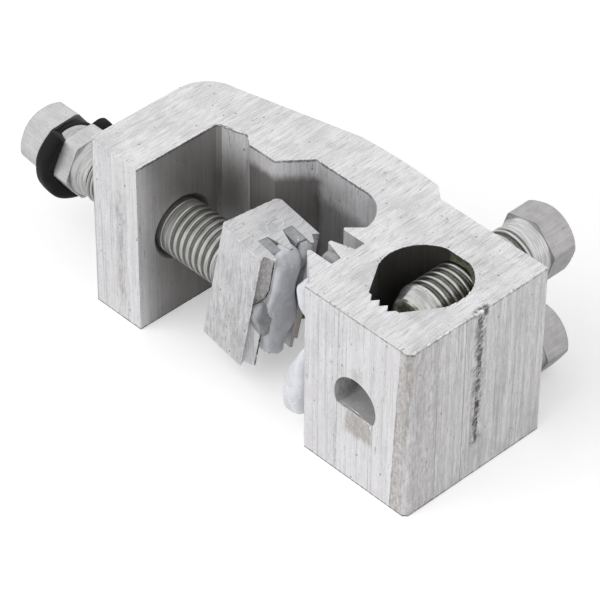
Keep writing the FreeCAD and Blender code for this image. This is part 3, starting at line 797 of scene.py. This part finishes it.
# the moving jaw
JAW_MARKS = (
    # oily film over the teeth below the sheet of grease
    Mark((-17.0, 1.0, 12.0), (4.5, 6.0, 9.0), (0.46, 0.425, 0.38), 0.70, 1.0, 0.9, TO_RIGHT),
    Mark((-19.0, 0.0, 17.0), (4.0, 4.4, 18.0), (0.20, 0.19, 0.165), 0.7, 0.4, 0.4, (0.0, 1.0, 0.0)),
    # pitted step beside the near tooth: pits, with painted shade on this side face
    Mark((-17.5, -6.2, 28.0), (2.6, 1.6, 8.0), (0.44, 0.415, 0.395), 0.70, 0.4, 0.5,
         (0.88, -0.47, 0.0), 0.5, patch_grain=(1.8, 1.8, 0.9)),
    # clear smear round the root of the middle tooth
    Mark((-22.6, 0.6, 33.5), (1.9, 1.9, 3.0), (0.56, 0.58, 0.60), 0.75, 0.30, 0.3, TO_TOP,
         ball=True),
    # dark streaks on the front and a dark ragged line under its top edge
    Mark((-23.5, -8.3, 17.0), (8.0, 1.4, 12.0), (0.24, 0.23, 0.23), 0.26, 1.5, 1.5, TO_FRONT, 1.0,
         patch_grain=(1.4, 1.4, 0.28)),
    Mark((-23.5, -8.3, 33.2), (6.5, 1.2, 0.9), (0.2, 0.19, 0.19), 0.45, 0.3, 0.8, TO_FRONT, 0.8,
         -8.0, grain=(1.5, 1.5, 0.8)),
)


# Sub-assemblies

@dataclass
class ConnectorSection:
    """The extruded connector body with the burrs and chips of its sawn edges."""

    bore_place: tuple[float, float] = (13.3, 6.1)
    bore_radius: float = 9.2
    bevel: float = 0.8

    def bore_rim(self) -> list[Triple]:
        """Corners of the bore's edge at the top: two arcs joined by a flat.

        Returns:
            Places in millimetres.
        """
        turn = np.radians(np.concatenate([np.linspace(201.0, 109.0, 20),
                                          np.linspace(71.0, -21.0, 20)]))
        (x, y), radius = self.bore_place, self.bore_radius
        return [(x + radius * math.cos(part), y + radius * math.sin(part), TOP) for part in turn]

    def build(self) -> None:
        """Dress the solid and add its burred edges."""
        marks = INNER_MARKS + RIGHT_MARKS + FRONT_MARKS
        dress("connector_body", SawnExtrusion("extruded_aluminium", -2.0, marks).build())
        finish = BrightBurr("burr_aluminium").build()
        low, high = FRONT, FRONT + self.bevel
        edges = {
            "burr_block_front": ([(0.0, low, TOP), (RIGHT - self.bevel, low, TOP),
                                  (RIGHT, high, TOP)], 0.27),
            "burr_block_side": ([(RIGHT, high, TOP), (RIGHT, BACK, TOP)], 0.26),
            "burr_arm_front": ([(-59.8, high, TOP), (-59.0, low, TOP), (ARM_WALL, low, TOP)],
                               0.30),
            "burr_arm_inner": ([(ARM_WALL, low, TOP), (ARM_WALL, 9.2, TOP)], 0.24),
            "burr_relief": ([(ARM_WALL, 9.2, TOP), (-39.7, 11.5, TOP), (-37.3, 9.7, TOP),
                             (-30.3, 9.7, TOP), (-25.3, 15.8, TOP), (-12.8, 15.8, TOP)], 0.23),
            "burr_arm_edge": ([(ARM_WALL, low, TOP), (ARM_WALL, low, 1.0)], 0.14),
            "burr_block_corner": ([(0.0, low, TOP), (0.0, low, 1.5)], 0.09),
            "burr_bore": (self.bore_rim(), 0.21),
            "burr_window": ([(9.9, low, 18.2), (12.2, low, 18.1), (14.8, low, 17.8),
                             (17.0, low, 17.0), (18.0, low, 15.2)], 0.36),
        }
        for place, (name, (path, size)) in enumerate(edges.items()):
            mesh = Skin(burr(path, size, 3 * place + 5)).mesh(name, 60.0)
            show(mesh, "connector", "extruded_aluminium", finish)
        chip = lump([(27.0, 6.6, 39.2, 0.30, 0.9), (27.1, 6.3, 39.8, 0.42, 1.1),
                     (26.9, 6.5, 40.2, 0.2, 0.7)], 41, 0.25, rows=18, columns=20)
        show(Skin(chip).mesh("torn_chip", 50.0), "connector", "extruded_aluminium", finish)


class BoltSurface:
    """Surface of a bolt along its own x: rings whose radius depends on the angle.

    A point of a ring is x, radius times the cosine and radius times the sine of its angle.
    """

    columns: int = 144
    rings_per_turn: int = 18

    def __init__(self, phase: float) -> None:
        """Start with no rings; the phase in degrees turns the hexagons' corners."""
        self.angle = full_turn(self.columns) + math.radians(phase)
        self.parts: dict[str, list[np.ndarray]] = {
            label: [] for label in ("x", "radius", "flat", "root", "film", "soft")}

    def add(self, x: np.ndarray, radius: np.ndarray, flat: float = 0.0,
            root: np.ndarray | float = 0.0, film: float = 0.0, soft: bool = False) -> None:
        """Append rings with their marks for the finish.

        Args:
            x: Place of each ring.
            radius: Radius, of shape (rings, columns) or (rings, 1).
            flat: 1 on a hexagon.
            root: Depth under the crest as a share.
            film: 1 where oil lies on the metal.
            soft: True if no edge of these rings is sharp.
        """
        values = {"x": x[:, None], "radius": radius, "flat": flat, "root": root, "film": film,
                  "soft": soft}
        for label, value in values.items():
            self.parts[label].append(np.broadcast_to(value, (len(x), self.columns)))

    def turned(self, corners: list[tuple[float, float]], stained: float = 0.0,
               film: float = 0.0) -> None:
        """Round part: the radius runs straight between corners given as x and radius."""
        x, radius = np.array(corners).T
        self.add(x, radius[:, None], root=stained, film=film)

    def hexagon(self, start: float, end: float, circles: tuple[float, float],
                bevel: float) -> None:
        """Hexagon: half the width over flats divided by the cosine of the angle from the
        middle of a flat, held under a rounded cone at each end.

        Args:
            start: First x.
            end: Last x.
            circles: Radius of the circle at the first and at the last end.
            bevel: Length of a cone that reaches the corners.
        """
        share = np.linspace(0.0, 1.0, 9)
        x = np.concatenate([start + bevel * share,
                            np.linspace(start + bevel, end - bevel, 5)[1:-1],
                            end - bevel * share[::-1]])
        corner, blunt = FLATS / math.sqrt(3.0), 0.12
        turn = np.mod(self.angle - self.angle[0], math.pi / 3.0) - math.pi / 6.0
        radius = np.minimum(FLATS / 2.0 / np.cos(turn), corner - blunt)[None, :]
        for circle, inward in zip(circles, (x - start, end - x)):
            cone = circle + (corner - circle) * np.sqrt(np.clip(inward / bevel, 0.0, 1.0))
            radius = np.minimum(radius, cone[:, None])
        self.add(x, radius, flat=1.0)

    def thread(self, start: float, end: float, depth: float = THREAD_DEPTH,
               crest: float = 0.2) -> None:
        """Right-hand thread: the groove follows x over the pitch less the share of the turn,
        with a narrow crest and a wide root, and fades out over about one pitch at both ends.

        Args:
            start: First x.
            end: Last x.
            depth: Depth of the groove.
            crest: Share of the pitch that the crest takes up.
        """
        pitch = THREAD_PITCH
        x = np.linspace(start, end, int((end - start) / pitch * self.rings_per_turn))
        share = x[:, None] / pitch - self.angle[None, :] / (2.0 * math.pi)
        wave = np.abs(2.0 * np.mod(share, 1.0) - 1.0)
        rise = min(0.42, 0.95 - crest)
        groove = 0.5 * (smooth_step(wave, crest, crest + rise)
                        + np.clip((wave - crest) / rise, 0.0, 1.0))
        fade = smooth_step(x, start, start + 0.6 * pitch)
        fade = fade * (1.0 - smooth_step(x, end - pitch, end))
        groove = groove * fade[:, None]
        self.add(x, THREAD_RADIUS - depth * groove, root=groove, soft=True)

    def mesh(self, name: str, origin: Triple, axes: np.ndarray) -> bpy.types.Mesh:
        """Make the mesh with its attributes flat, root and film.

        Args:
            name: Name of the mesh.
            origin: Place of the bolt's own zero in the row frame, in millimetres.
            axes: Rows are the bolt's own x, y and z in the row frame.

        Returns:
            The mesh.
        """
        made = {label: np.concatenate(values) for label, values in self.parts.items()}
        soft, x, radius = made.pop("soft"), made.pop("x"), made.pop("radius")
        local = np.stack([x, radius * np.cos(self.angle), radius * np.sin(self.angle)], axis=-1)
        return Skin(local @ axes + np.array(origin)).mesh(name, 32.0, made, soft)


@dataclass
class MainClampBolt:
    """Shear bolt with two hexagons, a collar, a thread and the spigot in the jaw."""

    outer_end: float = -87.3
    outer_long: float = 6.7
    groove_long: float = 1.6
    groove_radius: float = 4.4
    neck_long: float = 4.4
    neck_radius: float = 6.0
    inner_long: float = 3.9
    collar_long: float = 3.8
    land_start: float = -46.9
    land_end: float = -44.6
    worn_depth: float = 0.45
    worn_crest: float = 0.36
    shoulder: float = -30.85
    spigot_radius: float = 3.2
    spigot_groove: float = 2.7
    height: float = 20.0
    phase: float = 4.0

    def build(self) -> None:
        """Make the bolt, and dress the snap ring that holds it in the jaw."""
        bolt = BoltSurface(self.phase)
        outer = self.outer_end + self.outer_long
        groove = outer + self.groove_long
        inner = outer + self.neck_long
        collar = inner + self.inner_long
        foot = collar + self.collar_long
        bolt.turned([(self.outer_end + 0.25, 0.4), (self.outer_end + 0.1, 5.2)])
        bolt.hexagon(self.outer_end, outer, (5.7, 7.2), 1.5)
        bolt.turned([(outer, self.groove_radius), (groove, self.groove_radius)], 0.3)
        bolt.turned([(groove, self.neck_radius), (inner, self.neck_radius)])
        bolt.hexagon(inner, collar, (7.1, 7.2), 0.5)
        bolt.turned([(collar, 6.35), (collar + 0.6, 6.32), (foot - 0.5, 5.6), (foot, 5.5)])
        bolt.turned([(foot, 5.15), (foot + 0.7, 5.15)], 0.4)
        # the turns by the arm are rubbed to a smooth land with a scored line
        crest, score = THREAD_RADIUS, THREAD_RADIUS - 0.1
        bolt.thread(foot + 0.7, self.land_start)
        bolt.turned([(self.land_start, crest), (-45.9, crest), (-45.8, score), (-45.6, score),
                     (-45.5, crest), (self.land_end, crest)])
        bolt.thread(self.land_end, self.shoulder - 0.6, self.worn_depth, self.worn_crest)
        spigot, neck = self.spigot_radius, self.spigot_groove
        bolt.turned([(self.shoulder + step, radius) for step, radius in (
            (-0.6, 5.9), (0.0, 5.3), (0.0, spigot), (3.0, spigot), (3.0, neck), (4.2, neck),
            (4.2, spigot), (5.2, spigot), (5.6, 2.8))])
        finish = TurnedBolt("main_bolt_aluminium", Axis.X, (0.55, 0.54, 0.54),
                            (0.73, 0.72, 0.725), (0.66, 0.66, 0.655), (0.36, 0.36, 0.355), 0.86)
        mesh = bolt.mesh("main_bolt_turned", (0.0, 0.0, self.height), np.eye(3))
        show(mesh, "main_bolt", "bolt_aluminium", finish.build(), "main_clamp_bolt")
        dress("jaw_retaining_ring", BrightBurr("spring_steel", (0.55, 0.55, 0.57)).build())


@dataclass
class RubberRing:
    """Split rubber ring in the shear neck: thick round the foot, a thin band at the top."""

    middle: float = -77.3
    height: float = 19.7
    tilt: float = -6.4
    lean: float = -3.0
    open_at: float = 83.0
    open_wide: float = 68.0
    rows: int = 180
    columns: int = 44
    # first and last place along the axis, then along the radius
    band: Box = (-3.1, -1.3, 4.9, 6.5)
    thick: Box = (-1.8, 1.8, 5.9, 9.3)
    # place along the axis and the radius that both boxes hold
    core: tuple[float, float] = (-1.55, 6.2)
    farthest: float = 8.0
    halvings: int = 24

    def section(self, boxes: tuple[Box, ...]) -> np.ndarray:
        """Reach of a section made of rounded boxes, from the core outward.

        The reach in a direction is found by halving a range in which the distance to the
        rounded box changes sign; the greatest reach of the boxes counts.

        Args:
            boxes: The boxes.

        Returns:
            Array (columns,) in millimetres.
        """
        angle = full_turn(self.columns)
        direction = np.stack([np.cos(angle), np.sin(angle)], axis=1)
        reaches = []
        for left, right, low, high in boxes:
            middle = np.array([left + right, low + high]) / 2.0
            half = np.array([right - left, high - low]) / 2.0
            corner = 0.42 * half.min() + 0.3
            near, far = np.zeros(self.columns), np.full(self.columns, self.farthest)
            for _ in range(self.halvings):
                between = (near + far) / 2.0
                place = np.abs(self.core + direction * between[:, None] - middle) - (half - corner)
                outside = np.linalg.norm(np.maximum(place, 0.0), axis=1) > corner
                near, far = np.where(outside, near, between), np.where(outside, between, far)
            reaches.append(near)
        return np.max(reaches, axis=0)

    def build(self) -> None:
        """Make the ring: the thick section melts into the band at both ends of the opening."""
        turn = full_turn(self.rows)
        band = self.section((self.band,))
        whole = self.section((self.band, self.thick))
        away = np.abs(np.mod(turn - math.radians(self.open_at) + math.pi, 2.0 * math.pi) - math.pi)
        share = smooth_step(np.degrees(away), self.open_wide / 2.0 - 1.0,
                            self.open_wide / 2.0 + 12.0) ** 0.6
        wave = smooth_noise(np.stack([np.cos(turn), np.sin(turn)], 1) * 5.0, 23)
        share = share * (1.0 + 0.035 * wave)
        reach = band + share[:, None] * (whole - band)
        angle = full_turn(self.columns)
        axial = self.core[0] + reach * np.cos(angle)
        radial = self.core[1] + reach * np.sin(angle)
        local = np.stack([axial, radial * np.cos(turn)[:, None],
                          radial * np.sin(turn)[:, None]], axis=-1)
        rings = local @ turn_matrix(self.tilt, 0.0, self.lean).T
        rings = rings + np.array([self.middle, 0.0, self.height])
        show(Skin(rings, joined=True).mesh("rubber_ring_moulded", 60.0), "main_bolt",
             "black_rubber", BlackRubber().build(), "rubber_ring")


@dataclass
class BranchBolts:
    """The two hexagon bolts that press the branch conductor onto the ribs."""

    x: float = 13.9
    head_at: float = 8.6
    head_long: float = 6.6
    neck_long: float = 3.4
    reach: float = 19.4
    point_long: float = 3.3

    def build(self) -> None:
        """Make both bolts from one profile with their own turns."""
        finish = TurnedBolt("branch_bolt_aluminium", Axis.Y, (0.40, 0.39, 0.39),
                            (0.54, 0.53, 0.53), (0.76, 0.76, 0.76), (0.44, 0.44, 0.44)).build()
        axes = np.array([[0.0, -1.0, 0.0], [1.0, 0.0, 0.0], [0.0, 0.0, 1.0]])
        near = -self.head_at
        end = near - self.head_long
        neck = near + self.neck_long
        tip = self.reach + self.point_long
        for name, height, phase in (("upper", 32.0, 12.4), ("lower", 8.0, 59.0)):
            bolt = BoltSurface(phase)
            bolt.turned([(end + 0.2, 0.4), (end + 0.05, 5.6)])
            bolt.hexagon(end, near, (5.9, 7.3), 1.3)
            bolt.turned([(near, 6.35), (near + 0.5, 6.3), (neck - 0.6, 5.15), (neck, 5.0)])
            bolt.thread(neck, self.reach)
            bolt.turned([(self.reach, 5.9), (self.reach + 0.4, 5.7), (tip - 0.4, 4.7)], 0.0, 0.22)
            bolt.turned([(tip - 0.4, 4.7), (tip, 4.3), (tip - 0.1, 2.0), (tip - 0.9, 1.4),
                         (tip - 1.0, 0.3)], 0.15, 1.0)
            mesh = bolt.mesh(f"branch_bolt_{name}_turned", (self.x, BACK, height), axes)
            show(mesh, f"{name}_bolt", "bolt_aluminium", finish, f"branch_bolt_{name}")


@dataclass
class MovingJaw:
    """The toothed jaw on the spigot, with the grease that fills its slots."""

    origin: Triple = (-29.8, 0.0, 20.4)
    yaw: float = -3.3
    pitch: float = 7.4
    roll: float = -4.7
    top: float = 13.8
    near: float = -7.3
    tooth: tuple[float, float] = (13.3, -4.8)

    def seat(self, rings: np.ndarray) -> np.ndarray:
        """Rings of the jaw's own frame in the row frame."""
        return rings @ turn_matrix(self.yaw, self.pitch, self.roll).T + np.array(self.origin)

    def add(self, name: str, rings: np.ndarray, slot: str, finish: Material, *nodes: str,
            crease: float = 80.0) -> None:
        """Put a skin given in the jaw's own frame on the jaw."""
        show(Skin(self.seat(rings)).mesh(name, crease), "jaw", slot, finish, *nodes)

    def build(self) -> None:
        """Dress the jaw and add its burrs."""
        dress("movable_jaw", SawnExtrusion(
            "jaw_aluminium", -6.0, JAW_MARKS, (0.59, 0.59, 0.60), (0.74, 0.74, 0.75),
            (0.60, 0.592, 0.605), (0.83, 0.825, 0.84)).build())
        finish = BrightBurr("jaw_burr").build()
        top, near = self.top, self.near
        edges = {
            "burr_jaw_front": [(0.7, near, top), (11.9, near, top), (11.2, -6.0, top),
                               (*self.tooth, top)],
            "burr_jaw_back": [(0.0, 6.6, top), (0.0, -6.6, top), (0.7, near, top)],
            "burr_jaw_edge": [(11.9, near, top), (11.9, near, -top)],
            "burr_jaw_tooth": [(*self.tooth, top), (*self.tooth, -top)],
        }
        for place, (name, path) in enumerate(edges.items()):
            self.add(name, burr(path, 0.14, 61 + 3 * place), "jaw_aluminium", finish, crease=60.0)

    def grease(self, plain_grease: Material, shade_painted_grease: Material) -> None:
        """Fill the slots, lay the stream over the teeth and draw the grease's rims as painted
        shadow.

        Args:
            plain_grease: Material of the grease.
            shade_painted_grease: The same grease darker, as painted shade, in the slots and under
                the stream.
        """
        # height, middle across and half width of the stream, from its end up to the jaw's top
        outline = np.array(((-14.2, 1.5, 0.6), (-12.9, 1.0, 1.65), (-11.3, -0.1, 2.5),
                            (-8.4, -0.5, 3.1), (-6.7, 0.2, 4.2), (-5.0, 0.2, 4.5),
                            (-2.8, -0.5, 4.6), (0.0, -1.1, 4.3), (3.0, -1.2, 3.5),
                            (5.5, -1.1, 3.3), (8.0, -1.0, 3.5), (11.0, -1.2, 3.6),
                            (13.6, -1.2, 3.7)))
        height = np.linspace(13.6, -14.2, 20)
        across, wide = (np.interp(height, outline[:, 0], outline[:, part]) for part in (1, 2))
        out = smooth_step(-height, -13.6, -9.5)
        thick = 2.0 + 0.4 * out - 0.3 * smooth_step(-height, -9.0, 4.0)
        stream = lump(list(zip(11.1 + 0.7 * out, across, height, thick, wide)), 7, 0.08, 3.4,
                      16.0, 120, 80)
        lobe = lump([(12.1, -4.2, 2.9, 1.2, 2.3), (12.1, -2.8, 1.2, 1.5, 4.1),
                     (12.1, -1.9, -1.5, 1.7, 4.9), (12.1, -1.2, -4.2, 1.7, 4.5),
                     (12.0, -1.0, -7.5, 1.5, 3.8)], 13, 0.12, 5.0, 6.0, 60, 60)
        end = lump([(12.6, 3.4, 13.6, 1.3, 1.4), (12.7, 3.5, 12.2, 1.5, 1.6),
                    (12.2, 3.0, 9.5, 1.3, 1.5), (11.6, 2.6, 6.0, 0.9, 1.2)],
                   9, 0.22, 2.4, 4.0, 50, 44)
        self.add("grease_stream", stream, "contact_grease", plain_grease, "jaw_grease")
        # the lobe, the far end and the slot fills get the grease painted darker as shade
        self.add("grease_near_lobe", lobe, "contact_grease", shade_painted_grease)
        self.add("grease_far_end", end, "contact_grease", shade_painted_grease)
        low, high, slot = -10.4, 13.72, 3.05
        for seed, (name, middle) in enumerate((("near", -slot), ("far", slot)), 14):
            rows = [(9.3, middle, (high + low) / 2.0 + (high - low) / 2.0 * share, 2.2, 1.2)
                    for share in (-1.0, -0.5, 0.0, 0.5, 1.0)]
            self.add(f"grease_slot_{name}", lump(rows, seed, 0.02, 16.0, 300.0, 80, 80),
                     "contact_grease", shade_painted_grease)
        level = 13.85
        ring = burr([(x, y, level) for x, y in (
            (7.4, -1.0), (6.0, -0.7), (4.9, 0.0), (4.3, 1.8), (4.4, 3.2), (5.8, 3.6),
            (6.8, 2.7))], 0.34, 77, 0.45)
        self.add("grease_ring", ring, "contact_grease", plain_grease)
        # dark tubes along the edge of the grease: painted shadow where the grease meets the metal
        painted_shadow_rim = BrightBurr("grease_painted_shadow", (0.05, 0.045, 0.04)).build()
        rim = burr([(13.1, -4.95, 13.2), (13.2, -4.9, 6.0), (12.9, -5.2, 4.0),
                    (12.2, -6.0, 2.6), (11.8, -7.2, 2.2)], 0.17, 71, 0.55)
        low_rim = burr([(11.9, -7.2, 0.6), (12.5, -6.3, -0.6), (13.1, -5.1, -2.4),
                        (13.25, -4.85, -5.0), (13.25, -4.85, -13.7)], 0.22, 83, 0.5)
        self.add("grease_rim", rim, "contact_grease", painted_shadow_rim, crease=60.0)
        self.add("grease_rim_low", low_rim, "contact_grease", painted_shadow_rim, crease=60.0)


@dataclass
class BlockGrease:
    """Grease on the cavity side of the block."""

    plain_grease: Material
    shade_painted_grease: Material

    def build(self) -> None:
        """Make the drop, the smear above it and the plug in the middle slot, which has the darker
        grease of painted shade.
        """
        drop = lump([(-1.3, -9.6, 22.6, 0.8, 0.8), (-1.9, -9.5, 20.0, 1.5, 1.4),
                     (-3.0, -9.4, 16.4, 2.3, 1.8), (-4.0, -9.3, 12.4, 2.7, 2.0),
                     (-4.5, -9.2, 9.0, 2.8, 2.0), (-4.6, -9.2, 5.5, 2.8, 1.9)],
                    31, 0.14, 2.5, 24.0, 90, 56)
        smear = lump([(-2.2, -8.6, 38.6, 0.7, 0.7), (-2.9, -8.6, 35.8, 1.6, 1.2),
                      (-3.2, -8.4, 32.6, 1.8, 1.2), (-2.6, -8.7, 29.4, 1.1, 0.8)],
                     37, 0.2, 2.2, 2.4, 50, 40)
        plug = lump([(-2.9, -1.5, 39.7, 1.7, 0.8), (-3.3, -1.5, 38.2, 2.0, 1.1),
                     (-3.6, -1.3, 36.4, 1.6, 1.1), (-3.6, -1.2, 34.4, 0.9, 0.8)],
                    43, 0.45, 3.4, 9.0, 44, 40)
        for name, rings, finish, nodes in (("grease_drop", drop, self.plain_grease, ("body_grease",)),
                                           ("grease_smear", smear, self.plain_grease, ()),
                                           ("grease_plug", plug, self.shade_painted_grease, ())):
            show(Skin(rings).mesh(name, 80.0), "connector", "contact_grease", finish, *nodes)


# Studio

@dataclass
class Studio:
    """Plain pale floor, soft light and the camera at the photograph's view."""

    place: Triple = (0.3428, -0.3442, 0.4449)
    azimuth: float = 45.96
    elevation: float = 40.53
    roll: float = 0.4
    # focal length and width of the picture in its own points, and width of the sensor in mm
    focal: float = 3445.7
    picture: float = 600.0
    sensor: float = 36.0

    def hang(self, name: str, data: bpy.types.ID, axes: np.ndarray, place: Triple
             ) -> bpy.types.Object:
        """Put a camera or a lamp in the scene.

        Args:
            name: Name of the object.
            data: Its camera or lamp.
            axes: Its right, up and back as rows.
            place: Its place in metres.

        Returns:
            The object.
        """
        holder = bpy.data.objects.new(name, data)
        holder.matrix_world = Matrix([*np.column_stack([axes.T, place]).tolist(),
                                      [0.0, 0.0, 0.0, 1.0]])
        bpy.context.scene.collection.objects.link(holder)
        return holder

    def camera(self) -> None:
        """Place the camera: its axes are right, up and back, from azimuth and elevation."""
        azimuth, elevation, roll = np.radians([self.azimuth, self.elevation, self.roll])
        back = np.array([math.sin(azimuth) * math.cos(elevation),
                         -math.cos(azimuth) * math.cos(elevation), math.sin(elevation)])
        level = np.array([math.cos(azimuth), math.sin(azimuth), 0.0])
        down = -np.cross(level, -back)
        right = math.cos(roll) * level - math.sin(roll) * down
        lower = math.sin(roll) * level + math.cos(roll) * down
        data = bpy.data.cameras.new("camera")
        data.sensor_width = self.sensor
        data.lens = self.sensor * self.focal / self.picture
        data.clip_start = 0.01
        axes = np.array([right, -lower, back])
        bpy.context.scene.camera = self.hang("camera", data, axes, self.place)

    def light(self, name: str, place: Triple, watts: float, size: float) -> None:
        """Hang a square lamp that faces the object and leaves no glare on flat metal.

        Args:
            name: Name of the lamp.
            place: Its place in metres.
            watts: Its power.
            size: Its side in metres.
        """
        data = bpy.data.lights.new(name, "AREA")
        data.energy = watts
        data.size = size
        back = np.array(place) / np.linalg.norm(place)
        side = np.cross([0.0, 0.0, 1.0], back)
        side = side / np.linalg.norm(side)
        axes = np.array([side, np.cross(back, side), back])
        self.hang(name, data, axes, place).visible_glossy = False

    def floor(self) -> None:
        """Lay a pale floor that a camera ray sees a little lighter."""
        span = 6.0
        corners = [(-span, -span, 0.0), (span, -span, 0.0), (span, span, 0.0), (-span, span, 0.0)]
        mesh = bpy.data.meshes.new("floor")
        mesh.from_pydata(corners, [], [(0, 1, 2, 3)])
        graph = Graph(bpy.data.materials.new("pale_floor"))
        seen = graph.add("LightPath", {}, "Is Camera Ray")
        mesh.materials.append(graph.shade(
            Base_Color=(0.86, 0.86, 0.86), Roughness=0.9, Specular_IOR_Level=0.0,
            Emission_Color=(1.0, 1.0, 1.0), Emission_Strength=graph.times(seen, 0.30)))
        floor = bpy.data.objects.new("floor", mesh)
        bpy.context.scene.collection.objects.link(floor)

    def world(self) -> None:
        """Give an even pale sky: dimmer as light than a camera or glossy ray sees it."""
        graph = Graph(bpy.data.worlds.new("studio_air"), "Background")
        camera, glossy = (graph.add("LightPath", {}, f"Is {ray} Ray")
                          for ray in ("Camera", "Glossy"))
        seen = graph.math("MAXIMUM", camera, glossy)
        strength = graph.add("MapRange", {"Value": seen, "To Min": 0.50, "To Max": 1.0})
        bpy.context.scene.world = graph.shade(Color=(1.0, 1.0, 1.0), Strength=strength)

    def build(self) -> None:
        """Set up the whole studio."""
        bpy.context.scene.view_settings.view_transform = "Standard"
        self.world()
        self.floor()
        self.light("key_light", (-0.30, -0.95, 0.90), 13.0, 1.6)
        self.light("side_light", (1.05, 0.1, 0.75), 3.4, 1.2)
        self.camera()


def main() -> None:
    """Build the studio and every sub-assembly."""
    logging.basicConfig(level=logging.INFO, format="%(name)s: %(message)s")
    Studio().build()
    ConnectorSection().build()
    MainClampBolt().build()
    RubberRing().build()
    BranchBolts().build()
    jaw = MovingJaw()
    jaw.build()
    plain_grease = ContactGrease().build()
    # the same grease darker: painted shade for the grease in the slots and hollows
    shade_painted_grease = ContactGrease("grease_painted_shade", (0.29, 0.295, 0.30), (0.40, 0.405, 0.415)).build()
    jaw.grease(plain_grease, shade_painted_grease)
    BlockGrease(plain_grease, shade_painted_grease).build()


if __name__ == "__main__":
    main()
